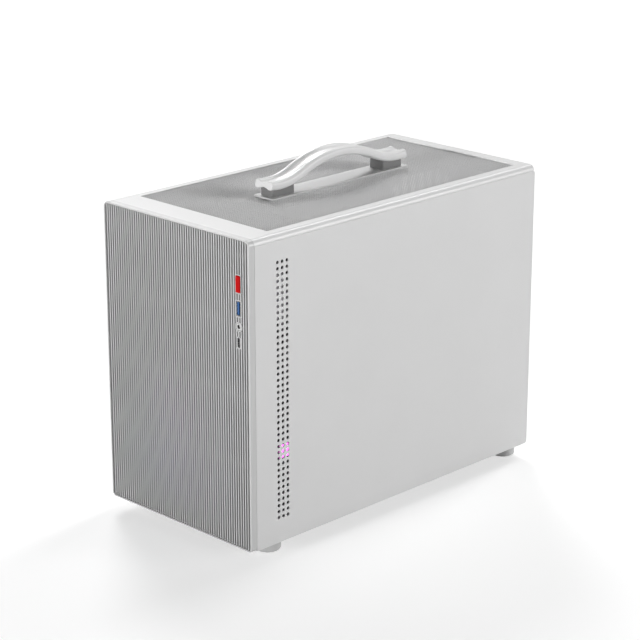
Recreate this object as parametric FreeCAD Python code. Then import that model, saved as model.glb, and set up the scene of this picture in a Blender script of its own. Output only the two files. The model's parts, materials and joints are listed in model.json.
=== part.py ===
"""Small tower computer case for a micro-ATX board, with a carrying handle on its top.

Millimetres. X runs across the front, Y from the front to the rear, Z up.
The origin is the middle of the footprint, on the surface that the feet stand on.
"""
import FreeCAD, Part
import math
import os

V = FreeCAD.Vector
AXIS_X, AXIS_Y, AXIS_Z = V(1, 0, 0), V(0, 1, 0), V(0, 0, 1)

# Overall size and sheet
CASE_W = 186.0
CASE_D = 370.0
BODY_H = 280.0
FOOT_H = 12.5
SHEET = 1.0
SEAM = 0.5            # gap that shows between two outer panels
PLAY = 0.3            # clearance between pieces that move or come apart
SCREW_PLAY = 0.2      # radial clearance of a screw in its hole
SCREW_R = 2.0         # case screws, with their heads
HEAD_R = 3.6
HEAD_T = 2.4
ROUND_END = 0.98      # share of a slot's half width that rounds its end
SAME = 0.01           # places closer than this are one place
SAME_DEG = 2.5        # and so are directions

# Outer shell
FRONT_DEPTH = 6.0
TOP_R = 5.5           # rounded long edges of the top
LOW_R = 4.0           # lower corners of the front panel
REAR_R = 3.0          # rear edge of the top, rear corner of the side panels
HEM_W = 6.0           # folded border of a side panel
EDGE_R = 0.6          # outer edge of a side panel
REAR_INSET = 12.0     # rear wall behind the rear edge of the side panels

# Ribbed front panel
RIM = 1.5
RIM_R = 0.7
RIB_COUNT = 62
RIB_GAP = 1.45
RIB_RECESS = 1.5
RIB_DEPTH = 2.6
BAR_COUNT = 5
BAR_H = 2.5
CLIP_R = 2.5
CLIP_L = 6.0
CLIP_INSET_X = 11.0
CLIP_INSET_Z = 15.5

# Mesh field and vent holes
MESH_SIDE = 12.0      # edge of the mesh window from the side of the case
MESH_FRONT = 32.5     # and from its front
MESH_REAR = 15.5      # and from its rear
MESH_T = 0.8
MESH_LAP = 2.0        # mesh sheet beyond the edge of its window
MESH_COLUMNS = 60
MESH_SLOT = 1.5
MESH_BAR = 3.0        # cross bar in the middle of the mesh sheet
VENT_ROWS = 43
VENT_COLUMNS = 3
VENT_PITCH = 5.5
VENT_R = 1.55
VENT_INSET = 26.5     # first column behind the panel's front edge
VENT_RISE = 2.5       # vent above the middle of the panel

# Chassis
WALL_SETBACK = 3.0    # front wall behind the front panel
FRAME_DROP = 6.5      # top of the chassis below the top of the case
FLANGE = 12.0
RAIL_FLANGE = 17.0    # flanges that hold the panel sockets
CORNER_CLEAR = 0.5    # between the ends of neighbouring flanges
TRAY_CLEAR = 26.16    # fan wall in front of the board tray
WALL_SIDE_GAP = 2.5   # fan wall inside the chassis sides
BAY_WINDOW = (0.29, 0.83)       # ends of the front window in the top, as shares of the chamber below it
WINDOW_R = 8.0
PASS_R = 5.0          # corners of the openings in the fan wall
WINDOW_SIDE = 20.5
WINDOW_END = 17.0
FLOOR_SLOT_W = 3.0
FLOOR_SLOT_L = 58.0
FLOOR_SLOT_PITCH = 9.0
FLOOR_SLOT_ROWS = 13
FLOOR_RIB = 14.0      # solid middle of the floor between the two slot columns

# Snap studs of the side panels
STUD_R = 1.6
BALL_R = 2.6
STUD_L = 4.5
SOCKET_R = 5.0
SOCKET_L = 5.5
STUD_RISE = 9.0
STUD_AHEAD = 16.0     # front studs ahead of the fan wall
STUD_REAR = 35.0      # rear studs from the rear face

# Board tray, to the micro-ATX board size
TRAY_GAP = 10.0       # outer face of the side panel to the tray
TRAY_FRONT = 4.0      # tray in front of the board
BOARD = 243.84
BOARD_TOP_GAP = 8.0   # upper edge of the board below the chassis top sheet
BOARD_REAR_GAP = 1.0
STANDOFF_H = 6.5
STANDOFF_AF = 5.5     # across the flats
STANDOFF_BORE_R = 1.35
HOLE_REAR = 10.16
HOLE_MID = 154.94
HOLE_FRONT = 227.33
ROW_TOP = 6.35
ROW_SECOND = 29.21
ROW_THIRD = 163.83
ROW_LAST = 209.55
COOLER_WINDOW_D = 96.0
COOLER_WINDOW_H = 112.0
COOLER_AHEAD = 92.0   # middle of that window ahead of the board's rear edge
COOLER_DROP = 70.0    # and below its upper edge
CABLE_SLOT_D = 16.0
CABLE_SLOT_H = 60.0
CABLE_SLOT_AT = (0.25, 0.75)    # down the tray, from its top

# Rear wall
APERTURE_L = 158.75
APERTURE_W = 44.45
APERTURE_ABOVE = 3.7  # above the upper edge of the board
APERTURE_BEHIND = 2.3 # past the face of the board
SLOT_COUNT = 4
SLOT_PITCH = 20.32
SLOT_BELOW = 11.7     # first slot opening below the socket opening
SLOT_OPEN_H = 14.5
SLOT_OPEN_L = 104.0
SLOT_SET = 9.5        # slot opening from the face of the board
COVER_H = 18.4
COVER_LAP = 5.0
TAB_L = 10.0
THUMB_R = 3.6
THUMB_L = 5.0
THUMB_SHANK_R = 1.6
REAR_VENT_R = 54.0
REAR_VENT_SLOT = 7.0
REAR_VENT_PITCH = 11.0
INLET_W = 20.0
INLET_H = 27.5
INLET_WALL = 1.6
INLET_FLANGE_W = 25.0
INLET_FLANGE_H = 50.0
INLET_FLANGE_T = 2.5
INLET_FLANGE_R = 5.0
INLET_DEPTH = 18.0
INLET_SIDE = 22.5
INLET_RISE = 36.0
INLET_SCREW_PITCH = 40.0
PIN_W = 4.0
PIN_T = 2.0
PIN_STEP = 7.0
PIN_OFFSET = 4.0
PIN_L = 14.0

# Fan wall and lit fan
FAN = 120.0
FAN_HOLE_INSET = 7.5  # screw holes from the sides of the fan
FAN_T = 25.0
FAN_RISE = 66.5       # centre above the floor sheet's underside
FAN_BORE_R = 57.5
FAN_CORNER_R = 6.0
RING_R = 60.0
RING_L = 12.5
RING_OFFSET = 3.3     # lit ring in front of the fan wall
HUB_R = 20.0
HUB_WALL = 2.0
HUB_L = 19.0
MOTOR_R = 19.0
MOTOR_T = 3.0
BOSS_R = 5.0
BOSS_L = 6.0
SHAFT_R = 1.5
SHAFT_PLAY = 0.05
STRUT_W = 6.0
BLADES = 9
BLADE_T = 1.6
BLADE_TIP_GAP = 1.5
BLADE_ROOT_DEG = 48.0
BLADE_TIP_DEG = 26.0
BLADE_CHORD = 19.0
POWER_OPEN_W = 108.0
POWER_OPEN_H = 46.0
POWER_HOLE_W = 113.0  # between the screw holes of the power unit
POWER_HOLE_H = 51.5
POWER_DROP = 70.0     # power unit's opening below the top frame
CABLE_PASS_W = 60.0
CABLE_PASS_H = 16.0

# Carrying handle
HANDLE_W = 22.0
HANDLE_T = 8.0
HANDLE_HALF = 86.5
HANDLE_LOW = 76.0     # lowest point of the grip from its middle
HANDLE_END_RISE = 14.7
HANDLE_ARCH = 17.0
ARCH_R = 112.0
RIDGE_SET = 2.5       # crest of each ridge from the side of the grip
RIDGE_DROP = 2.5      # upper end of the flat side below the crest
GROOVE_HALF = 5.0
GROOVE_LIP = 0.9
GROOVE_DEPTH = 2.0
BELLY_R = 2.5
CHANNEL_HALF = 6.0
CHANNEL_DEPTH = 1.6
STRIP_W = 24.0
STRIP_L = 175.5
STRIP_T = 1.5
POST_W = 17.0
POST_L = 27.0
POST_MARGIN = 4.2
POST_TOP = 11.7       # within the grip, above the case top
POST_R = 2.5
RAIL_W = 26.0
RAIL_T = 1.5
RAIL_EXTRA = 8.0
HANDLE_SCREW_GAP = 14.0
HANDLE_SCREW_REACH = 11.0

# Feet
FOOT_R = 12.0
FOOT_EDGE = 3.0
FOOT_FRONT = 37.5     # centre from the front face
FOOT_REAR = 13.5      # centre from the rear face
FOOT_SIDE = 19.5
FOOT_WELL_R = 4.4
FOOT_WELL = 6.5
FOOT_SCREW_R = 1.9

# Front sockets and power button
IO_SIDE = 15.0        # sockets from the right side
BUTTON_W = 5.4
BUTTON_H = 14.6
BUTTON_DROP = 40.4    # centre below the top of the case
BUTTON_PROUD = 0.6
BUTTON_FLANGE = 1.1
BUTTON_FLANGE_T = 1.2
BUTTON_TRAVEL = 1.0
STEM_R = 1.6
SWITCH = 6.0
SWITCH_T = 3.5
USB_W = 5.7
USB_H = 13.1
USB_WALL = 0.45
USB_BELOW = 7.55      # from the lower edge of the button
TONGUE_W = 1.9
TONGUE_H = 11.1
TONGUE_SET = 0.6
JACK_R = 3.2
JACK_BORE_R = 1.8
JACK_BELOW = 6.25     # from the lower edge of the wide socket
SLIM_W = 3.3
SLIM_H = 9.0
SLIM_WALL = 0.35
SLIM_BELOW = 6.4      # from the lower edge of the round socket
SLIM_TONGUE_W = 0.75
SLIM_TONGUE_H = 6.6
COLLAR = 0.9
SOCKET_FLUSH = 0.1    # sockets behind the face of the ribs
CARRIER_W = 14.0
CARRIER_END = 3.5     # carrier beyond the first and last opening
CARRIER_LIP = 2.0
CARRIER_LIP_T = 2.0
CARRIER_GAP = 0.6     # carrier behind the front panel
CARRIER_DEPTH = 9.4
BOARD_T = 1.6
IO_SCREW_R = 1.2
IO_SCREW_INSET = 3.6  # screws from the side of the carrier

# Places worked out from the sizes above
X_SIDE = CASE_W / 2
Y_FRONT = -CASE_D / 2
Y_REAR = CASE_D / 2
Z_BASE = FOOT_H
Z_TOP = FOOT_H + BODY_H
Y_PANEL_BACK = Y_FRONT + FRONT_DEPTH
Y_SHELL = Y_PANEL_BACK + SEAM
Z_SEAM = Z_TOP - TOP_R
X_CHASSIS = X_SIDE - 2 * SHEET - SEAM
Z_FLOOR = Z_BASE + SHEET
Z_FRAME = Z_TOP - FRAME_DROP
Z_CEILING = Z_FRAME - SHEET
Y_WALL = Y_PANEL_BACK + WALL_SETBACK
Y_BAY = Y_WALL + SHEET
Y_BACK_OUT = Y_REAR - REAR_INSET
Y_BACK = Y_BACK_OUT - SHEET
Y_BOARD = Y_BACK - BOARD_REAR_GAP
Y_TRAY = Y_BOARD - BOARD - TRAY_FRONT
Y_FAN_WALL = Y_TRAY - TRAY_CLEAR - SHEET
Z_COVER = Z_TOP - SHEET
Z_MESH = Z_COVER - MESH_T
MESH_W = CASE_W - 2 * MESH_SIDE
MESH_L = CASE_D - MESH_FRONT - MESH_REAR
Y_MIDDLE = (MESH_FRONT - MESH_REAR) / 2     # middle of the mesh field and of the handle
X_TRAY = X_SIDE - TRAY_GAP - SHEET
X_BOARD = X_TRAY - STANDOFF_H
Z_BOARD = Z_CEILING - BOARD_TOP_GAP
SLOT_DROP = APERTURE_L - APERTURE_ABOVE + SLOT_BELOW + SLOT_OPEN_H / 2
USB_DROP = BUTTON_DROP + BUTTON_H / 2 + USB_BELOW + USB_H / 2
JACK_DROP = USB_DROP + USB_H / 2 + JACK_BELOW + JACK_R
SLIM_DROP = JACK_DROP + JACK_R + SLIM_BELOW + SLIM_H / 2
X_IO = X_SIDE - IO_SIDE
Y_RIB = Y_FRONT + RIB_RECESS
Y_RIB_BACK = Y_RIB + RIB_DEPTH
Z_FAN = Z_BASE + FAN_RISE
Z_STRIP = Z_COVER + STRIP_T
STUD_HEIGHTS = (Z_FLOOR + STUD_RISE, Z_CEILING - STUD_RISE)
STUD_PLACES = (Y_FAN_WALL - STUD_AHEAD, Y_REAR - STUD_REAR)
FOOT_PLACES = [(sx * (X_SIDE - FOOT_SIDE), y) for sx in (-1, 1)
               for y in (Y_FRONT + FOOT_FRONT, Y_REAR - FOOT_REAR)]
POST_MIDDLES = [Y_MIDDLE + side * (STRIP_L / 2 - POST_MARGIN - POST_L / 2) for side in (-1, 1)]
HANDLE_SCREWS = [y + side * HANDLE_SCREW_GAP / 2 for y in POST_MIDDLES for side in (-1, 1)]


def box(x0, x1, y0, y1, z0, z1):
    return Part.makeBox(x1 - x0, y1 - y0, z1 - z0, V(x0, y0, z0))


def rod(radius, start, end):
    run = end.sub(start)
    return Part.makeCylinder(radius, run.Length, start, run)


def tube(outer, inner, start, end):
    return rod(outer, start, end).cut(rod(inner, start, end))


def lies_along(edge, axis):
    return all(abs(edge.tangentAt(end).dot(axis)) > math.cos(math.radians(SAME_DEG)) for end in edge.ParameterRange)


def rounded(shape, radius, axis, wanted=lambda middle: True):
    """Round the edges of a shape that run along an axis and whose middle is wanted."""
    edges = [e for e in shape.Edges if lies_along(e, axis) and wanted(e.CenterOfMass)]
    return shape.makeFillet(radius, edges)


def rounded_box(x0, x1, y0, y1, z0, z1, radius, axis):
    return rounded(box(x0, x1, y0, y1, z0, z1), radius, axis)


def merged(*solids):
    shape = solids[0].fuse(list(solids[1:]))
    return shape.removeSplitter()


def cut_all(shape, tools):
    return shape.cut(Part.makeCompound(tools))


def across(shape):
    """The same piece on the other side of the case."""
    return shape.mirror(V(0, 0, 0), AXIS_X)


def hexagon(radius, centre, axis_run):
    """Six-sided bar with its flats along the given run, which lies on X."""
    corners = [V(0, radius * math.cos(math.radians(60 * i)), radius * math.sin(math.radians(60 * i)))
               for i in range(7)]
    wire = Part.makePolygon([centre.add(c) for c in corners])
    return Part.Face(wire).extrude(axis_run)


# Front panel

PORTS = {
    "button": (BUTTON_DROP, BUTTON_W, BUTTON_H),
    "usb": (USB_DROP, USB_W, USB_H),
    "jack": (JACK_DROP, 2 * JACK_R, 2 * JACK_R),
    "slim": (SLIM_DROP, SLIM_W, SLIM_H),
}


def port_block(name, grow, y0, y1):
    """Bar through a front opening, larger than its socket by grow on every side."""
    drop, width, height = PORTS[name]
    z = Z_TOP - drop
    if name == "jack":
        return rod(JACK_R + grow, V(X_IO, y0, z), V(X_IO, y1, z))
    half_w, half_h = width / 2 + grow, height / 2 + grow
    bar = box(X_IO - half_w, X_IO + half_w, y0, y1, z - half_h, z + half_h)
    if name == "slim":
        return rounded(bar, half_w * ROUND_END, AXIS_Y)
    return bar


def front_outline(inset, y0, y1):
    """Rounded front outline of the case, drawn in by inset, as a bar along Y."""
    middle = (Z_BASE + Z_TOP) / 2
    bar = box(-X_SIDE + inset, X_SIDE - inset, y0, y1, Z_BASE + inset, Z_TOP - inset)
    bar = rounded(bar, TOP_R - inset, AXIS_Y, lambda m: m.z > middle)
    return rounded(bar, LOW_R - inset, AXIS_Y, lambda m: m.z < middle)


def bar_heights():
    low, high = Z_BASE + CLIP_INSET_Z, Z_TOP - CLIP_INSET_Z
    return [low + (high - low) * i / (BAR_COUNT - 1) for i in range(BAR_COUNT)]


def front_panel():
    body = front_outline(0, Y_FRONT, Y_PANEL_BACK)
    rim = [e for e in body.Edges if abs(e.CenterOfMass.y - Y_FRONT) < SAME]
    body = body.makeFillet(RIM_R, rim)
    field = front_outline(RIM, Y_RIB, Y_RIB_BACK)
    body = cut_all(body, [front_outline(RIM, Y_FRONT, Y_RIB), front_outline(RIM, Y_RIB_BACK, Y_PANEL_BACK)])
    half = X_SIDE - RIM
    pitch = 2 * half / RIB_COUNT
    gaps = []
    for i in range(1, RIB_COUNT):
        x = -half + i * pitch
        gaps.append(box(x - RIB_GAP / 2, x + RIB_GAP / 2, Y_RIB, Y_RIB_BACK, Z_BASE, Z_TOP))
    body = body.cut(Part.makeCompound(gaps).common(field))
    bars = [box(-half - RIM / 2, half + RIM / 2, Y_RIB_BACK, Y_PANEL_BACK, z - BAR_H / 2, z + BAR_H / 2)
            for z in bar_heights()]
    collars = [port_block(name, PLAY + COLLAR, Y_RIB, Y_PANEL_BACK) for name in PORTS]
    body = merged(body, *bars, *collars)
    return cut_all(body, [port_block(name, PLAY, Y_RIB, Y_PANEL_BACK) for name in PORTS])


def clip_places():
    heights = bar_heights()
    return [(sx * (X_SIDE - CLIP_INSET_X), z) for sx in (-1, 1)
            for z in (heights[0], heights[BAR_COUNT // 2], heights[-1])]


def front_clips():
    clips = []
    for x, z in clip_places():
        neck = rod(CLIP_R, V(x, Y_PANEL_BACK, z), V(x, Y_PANEL_BACK + CLIP_L, z))
        tip = [e for e in neck.Edges if abs(e.CenterOfMass.y - Y_PANEL_BACK - CLIP_L) < SAME]
        clips.append(neck.makeChamfer(CLIP_R / 2, tip))
    return Part.makeCompound(clips)


# Outer sheet panels

def top_cover():
    def hood(inset):
        bar = box(-X_SIDE + inset, X_SIDE - inset, Y_SHELL + inset, Y_REAR - inset,
                  Z_SEAM - 2 * TOP_R, Z_TOP - inset)
        top = Z_TOP - inset
        bar = rounded(bar, TOP_R - inset, AXIS_Y, lambda m: abs(m.z - top) < SAME)
        rear = [e for e in bar.Edges if abs(e.CenterOfMass.y - Y_REAR + inset) < SAME
                and e.CenterOfMass.z > Z_SEAM]
        return bar.makeFillet(REAR_R - inset, rear)
    shell = hood(0).cut(hood(SHEET))
    below = box(-CASE_W, CASE_W, -CASE_D, CASE_D, 0, Z_SEAM)
    y0, y1 = Y_MIDDLE - MESH_L / 2, Y_MIDDLE + MESH_L / 2
    window = box(-MESH_W / 2, MESH_W / 2, y0, y1, Z_SEAM, Z_TOP)
    return cut_all(shell, [below, window])


def top_mesh():
    half_w, half_l = MESH_W / 2, MESH_L / 2
    sheet = box(-half_w - MESH_LAP, half_w + MESH_LAP, Y_MIDDLE - half_l - MESH_LAP,
                Y_MIDDLE + half_l + MESH_LAP, Z_MESH, Z_COVER)
    pitch = MESH_W / MESH_COLUMNS
    tools = []
    for i in range(MESH_COLUMNS):
        x = -half_w + (i + 0.5) * pitch
        under_strip = abs(x) < STRIP_W / 2 + MESH_SLOT
        inner = STRIP_L / 2 + MESH_BAR if under_strip else MESH_BAR / 2
        for side in (-1, 1):
            ends = sorted((Y_MIDDLE + side * inner, Y_MIDDLE + side * (half_l - MESH_SLOT / 2)))
            tools.append(box(x - MESH_SLOT / 2, x + MESH_SLOT / 2, ends[0], ends[1], Z_MESH, Z_COVER))
    tools += [rod(SCREW_R + SCREW_PLAY, V(0, y, Z_MESH), V(0, y, Z_COVER)) for y in HANDLE_SCREWS]
    return cut_all(sheet, tools)


def plain_side_panel():
    """Right-hand panel: a flat sheet with its border folded over on the inside."""
    z1 = Z_SEAM - SEAM
    skin = box(X_SIDE - SHEET, X_SIDE, Y_SHELL, Y_REAR, Z_BASE, z1)
    hem = box(X_SIDE - 2 * SHEET, X_SIDE - SHEET, Y_SHELL, Y_REAR, Z_BASE, z1).cut(
        box(X_SIDE - 2 * SHEET, X_SIDE - SHEET, Y_SHELL + HEM_W, Y_REAR - HEM_W, Z_BASE + HEM_W, z1 - HEM_W))
    panel = merged(skin, hem)
    panel = rounded(panel, REAR_R, AXIS_X, lambda m: m.y > Y_REAR - SAME)
    rim = [e for e in panel.Edges if abs(e.CenterOfMass.x - X_SIDE) < SAME]
    return panel.makeFillet(EDGE_R, rim)


def vented_side_panel():
    middle = (Z_BASE + Z_SEAM - SEAM) / 2 + VENT_RISE
    holes = []
    for column in range(VENT_COLUMNS):
        y = Y_SHELL + VENT_INSET + column * VENT_PITCH
        for row in range(VENT_ROWS):
            z = middle + (row - (VENT_ROWS - 1) / 2) * VENT_PITCH
            holes.append(hexagon(VENT_R, V(X_SIDE - SHEET, y, z), V(SHEET, 0, 0)))
    return cut_all(plain_side_panel(), holes)


def ball_stud():
    """Stud with a ball end, turned about the X axis, its foot at the origin and its ball towards -X."""
    neck = -STUD_L + math.sqrt(BALL_R ** 2 - STUD_R ** 2)
    tip = -STUD_L - BALL_R
    outline = [
        Part.LineSegment(V(tip, 0, 0), V(0, 0, 0)),
        Part.LineSegment(V(0, 0, 0), V(0, STUD_R, 0)),
        Part.LineSegment(V(0, STUD_R, 0), V(neck, STUD_R, 0)),
        Part.Arc(V(neck, STUD_R, 0), V(-STUD_L, BALL_R, 0), V(tip, 0, 0)),
    ]
    face = Part.Face(Part.Wire([curve.toShape() for curve in outline]))
    return face.revolve(V(0, 0, 0), AXIS_X, 360)


def panel_studs():
    """Studs on the inside of the right-hand panel."""
    places = [V(X_SIDE - SHEET, y, z) for y in STUD_PLACES for z in STUD_HEIGHTS]
    return Part.makeCompound([ball_stud().translated(place) for place in places])


def panel_sockets():
    rings = []
    for y in STUD_PLACES:
        for z in STUD_HEIGHTS:
            ring = tube(SOCKET_R, BALL_R + PLAY, V(X_CHASSIS, y, z), V(X_CHASSIS - SOCKET_L, y, z))
            rings += [ring, across(ring)]
    return Part.makeCompound(rings)


# Chassis

def socket_holes():
    holes = []
    for y in STUD_PLACES:
        for z in STUD_HEIGHTS:
            hole = rod(SOCKET_R, V(X_CHASSIS, y, z), V(X_CHASSIS - SHEET, y, z))
            holes += [hole, across(hole)]
    return holes


def side_flanges(y0, y1, z0, z1):
    right = box(X_CHASSIS - SHEET, X_CHASSIS, y0, y1, z0, z1)
    return [right, across(right)]


def base_pan():
    floor = box(-X_CHASSIS, X_CHASSIS, Y_SHELL, Y_REAR - SHEET, Z_BASE, Z_FLOOR)
    flanges = side_flanges(Y_BAY + FLANGE + CORNER_CLEAR, Y_BACK - FLANGE - CORNER_CLEAR,
                           Z_FLOOR, Z_FLOOR + RAIL_FLANGE)
    pan = merged(floor, *flanges)
    tools = socket_holes()
    tools += [rod(FOOT_SCREW_R + SCREW_PLAY, V(x, y, Z_BASE), V(x, y, Z_FLOOR)) for x, y in FOOT_PLACES]
    first = (Y_FAN_WALL + Y_BACK) / 2 - (FLOOR_SLOT_ROWS - 1) / 2 * FLOOR_SLOT_PITCH
    for row in range(FLOOR_SLOT_ROWS):
        y = first + row * FLOOR_SLOT_PITCH
        slot = box(FLOOR_RIB / 2, FLOOR_RIB / 2 + FLOOR_SLOT_L, y - FLOOR_SLOT_W / 2, y + FLOOR_SLOT_W / 2,
                   Z_BASE, Z_FLOOR)
        tools += [slot, across(slot)]
    return cut_all(pan, tools)


def front_wall():
    wall = box(-X_CHASSIS, X_CHASSIS, Y_WALL, Y_BAY, Z_FLOOR, Z_CEILING)
    wall = merged(wall, *side_flanges(Y_BAY, Y_BAY + FLANGE, Z_FLOOR, Z_CEILING))
    right = X_IO - CARRIER_W / 2 - CARRIER_LIP - CARRIER_END
    window = rounded_box(-X_CHASSIS + WINDOW_SIDE, right, Y_WALL, Y_BAY,
                         Z_FLOOR + WINDOW_END, Z_CEILING - WINDOW_END, WINDOW_R, AXIS_Y)
    holes = [rod(CLIP_R + PLAY, V(x, Y_WALL, z), V(x, Y_BAY, z)) for x, z in clip_places()]
    return cut_all(wall, [window, carrier_block(PLAY, Y_WALL, Y_BAY)] + holes)


def top_frame():
    sheet = box(-X_CHASSIS, X_CHASSIS, Y_WALL, Y_BACK_OUT, Z_CEILING, Z_FRAME)
    flanges = side_flanges(Y_BAY + FLANGE + CORNER_CLEAR, Y_BACK - FLANGE - CORNER_CLEAR,
                           Z_CEILING - RAIL_FLANGE, Z_CEILING)
    half = X_CHASSIS - FLANGE
    ends = [box(-half, half, y, y + SHEET, Z_FRAME, Z_COVER) for y in (Y_WALL, Y_BACK)]
    frame = merged(sheet, *flanges, *ends)
    windows = []
    front = [Y_BAY + share * (Y_FAN_WALL - Y_BAY) for share in BAY_WINDOW]
    for y0, y1 in (front, (Y_FAN_WALL + FLANGE, Y_BACK - WINDOW_SIDE)):
        window = rounded_box(RAIL_W / 2 + FLANGE / 2, X_CHASSIS - FLANGE, y0, y1, Z_CEILING, Z_FRAME,
                             WINDOW_R, AXIS_Z)
        windows += [window, across(window)]
    holes = [rod(SCREW_R + SCREW_PLAY, V(0, y, Z_CEILING), V(0, y, Z_FRAME)) for y in HANDLE_SCREWS]
    return cut_all(frame, socket_holes() + windows + holes)


def rear_slots():
    """Middle heights of the expansion slots, from the top."""
    return [Z_BOARD - SLOT_DROP - i * SLOT_PITCH for i in range(SLOT_COUNT)]


X_SLOT_END = X_BOARD - SLOT_SET - SLOT_OPEN_L
X_TAB = X_SLOT_END - COVER_LAP
X_VENT = (X_BOARD + APERTURE_BEHIND - APERTURE_W - X_CHASSIS) / 2
Z_VENT = Z_CEILING - FLANGE - REAR_VENT_R
INLET_AT = V(-X_CHASSIS + INLET_SIDE, Y_BACK_OUT, Z_BASE + INLET_RISE)


def fan_corners(x, y, z):
    half = FAN / 2 - FAN_HOLE_INSET
    return [V(x + sx * half, y, z + sz * half) for sx in (-1, 1) for sz in (-1, 1)]


def fan_corner_holes(x, z, y0, y1, radius):
    return [rod(radius, p, V(p.x, y1, p.z)) for p in fan_corners(x, y0, z)]


def inlet_screw_places():
    return [INLET_AT.add(V(0, 0, side * INLET_SCREW_PITCH / 2)) for side in (-1, 1)]


def rear_panel():
    wall = box(-X_CHASSIS, X_CHASSIS, Y_BACK, Y_BACK_OUT, Z_FLOOR, Z_CEILING)
    wall = merged(wall, *side_flanges(Y_BACK - FLANGE, Y_BACK, Z_FLOOR, Z_CEILING))
    slots = rear_slots()
    low, high = slots[-1] - COVER_H / 2, slots[0] + COVER_H / 2
    ledge = box(X_TAB - 2 * SHEET, X_TAB - SHEET, Y_BACK_OUT, Y_BACK_OUT + TAB_L, low, high)
    wall = merged(wall, ledge)
    top = Z_BOARD + APERTURE_ABOVE
    inner = X_BOARD + APERTURE_BEHIND
    tools = [box(inner - APERTURE_W, inner, Y_BACK, Y_BACK_OUT, top - APERTURE_L, top)]
    tools.append(box(X_TAB - SHEET, X_TAB, Y_BACK, Y_BACK_OUT, low - PLAY, high + PLAY))
    for z in slots:
        tools.append(box(X_SLOT_END, X_SLOT_END + SLOT_OPEN_L, Y_BACK, Y_BACK_OUT,
                         z - SLOT_OPEN_H / 2, z + SLOT_OPEN_H / 2))
        tools.append(rod(THUMB_SHANK_R + SCREW_PLAY, V(X_TAB - 2 * SHEET, Y_BACK_OUT + TAB_L / 2, z),
                         V(X_TAB - SHEET, Y_BACK_OUT + TAB_L / 2, z)))
    count = int((REAR_VENT_R - REAR_VENT_SLOT / 2) // REAR_VENT_PITCH)
    for i in range(-count, count + 1):
        offset = i * REAR_VENT_PITCH
        half = math.sqrt(REAR_VENT_R ** 2 - (abs(offset) + REAR_VENT_SLOT / 2) ** 2)
        x = X_VENT + offset
        tools.append(rounded_box(x - REAR_VENT_SLOT / 2, x + REAR_VENT_SLOT / 2, Y_BACK, Y_BACK_OUT,
                                 Z_VENT - half, Z_VENT + half, REAR_VENT_SLOT / 2 * ROUND_END, AXIS_Y))
    tools += fan_corner_holes(X_VENT, Z_VENT, Y_BACK, Y_BACK_OUT, SCREW_R + SCREW_PLAY)
    half_w, half_h = INLET_W / 2 + INLET_WALL, INLET_H / 2 + INLET_WALL
    tools.append(box(INLET_AT.x - half_w, INLET_AT.x + half_w, Y_BACK, Y_BACK_OUT,
                     INLET_AT.z - half_h, INLET_AT.z + half_h))
    tools += [rod(IO_SCREW_R + SCREW_PLAY, p.sub(V(0, SHEET, 0)), p) for p in inlet_screw_places()]
    return cut_all(wall, tools)


def standoff_places():
    rear, middle, front = (Y_BOARD - HOLE_REAR - step for step in (0, HOLE_MID, HOLE_FRONT))
    places = [(middle, ROW_TOP), (front, ROW_TOP), (rear, ROW_SECOND)]
    places += [(y, row) for row in (ROW_THIRD, ROW_LAST) for y in (rear, middle, front)]
    return [(y, Z_BOARD - row) for y, row in places]


def board_tray():
    x1 = X_TRAY + SHEET
    sheet = box(X_TRAY, x1, Y_TRAY, Y_BACK, Z_FLOOR, Z_CEILING)
    lip = box(x1, x1 + TRAY_GAP / 2, Y_TRAY, Y_TRAY + SHEET, Z_FLOOR, Z_CEILING)
    tray = merged(sheet, lip)
    cy, cz = Y_BOARD - COOLER_AHEAD, Z_BOARD - COOLER_DROP
    half_y, half_z = COOLER_WINDOW_D / 2, COOLER_WINDOW_H / 2
    tools = [rounded_box(X_TRAY, x1, cy - half_y, cy + half_y, cz - half_z, cz + half_z, WINDOW_R, AXIS_X)]
    for drop in CABLE_SLOT_AT:
        z = Z_CEILING - drop * (Z_CEILING - Z_FLOOR)
        y = Y_BOARD - HOLE_FRONT + CABLE_SLOT_D / 2
        tools.append(rounded_box(X_TRAY, x1, y, y + CABLE_SLOT_D, z - CABLE_SLOT_H / 2, z + CABLE_SLOT_H / 2,
                                 CABLE_SLOT_D / 2 * ROUND_END, AXIS_X))
    tools += [rod(STANDOFF_BORE_R, V(X_TRAY, y, z), V(x1, y, z)) for y, z in standoff_places()]
    return cut_all(tray, tools)


def board_standoffs():
    posts = []
    for y, z in standoff_places():
        post = hexagon(STANDOFF_AF / 2 / math.cos(math.pi / 6), V(X_BOARD, y, z), V(STANDOFF_H, 0, 0))
        posts.append(post.cut(rod(STANDOFF_BORE_R, V(X_BOARD, y, z), V(X_TRAY, y, z))))
    return Part.makeCompound(posts)


# Expansion slot covers and mains inlet

def slot_covers():
    covers = []
    for z in rear_slots():
        z0, z1 = z - COVER_H / 2, z + COVER_H / 2
        plate = box(X_TAB - SHEET, X_SLOT_END + SLOT_OPEN_L + COVER_LAP, Y_BACK - SHEET, Y_BACK, z0, z1)
        tab = box(X_TAB - SHEET, X_TAB, Y_BACK - SHEET, Y_BACK_OUT + TAB_L, z0, z1)
        y = Y_BACK_OUT + TAB_L / 2
        hole = rod(THUMB_SHANK_R + SCREW_PLAY, V(X_TAB - SHEET, y, z), V(X_TAB, y, z))
        covers.append(merged(plate, tab).cut(hole))
    return Part.makeCompound(covers)


def slot_thumbscrews():
    screws = []
    y = Y_BACK_OUT + TAB_L / 2
    for z in rear_slots():
        head = rod(THUMB_R, V(X_TAB, y, z), V(X_TAB + THUMB_L, y, z))
        shank = rod(THUMB_SHANK_R, V(X_TAB, y, z), V(X_TAB - THUMB_L, y, z))
        screws.append(merged(head, shank))
    return Part.makeCompound(screws)


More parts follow.
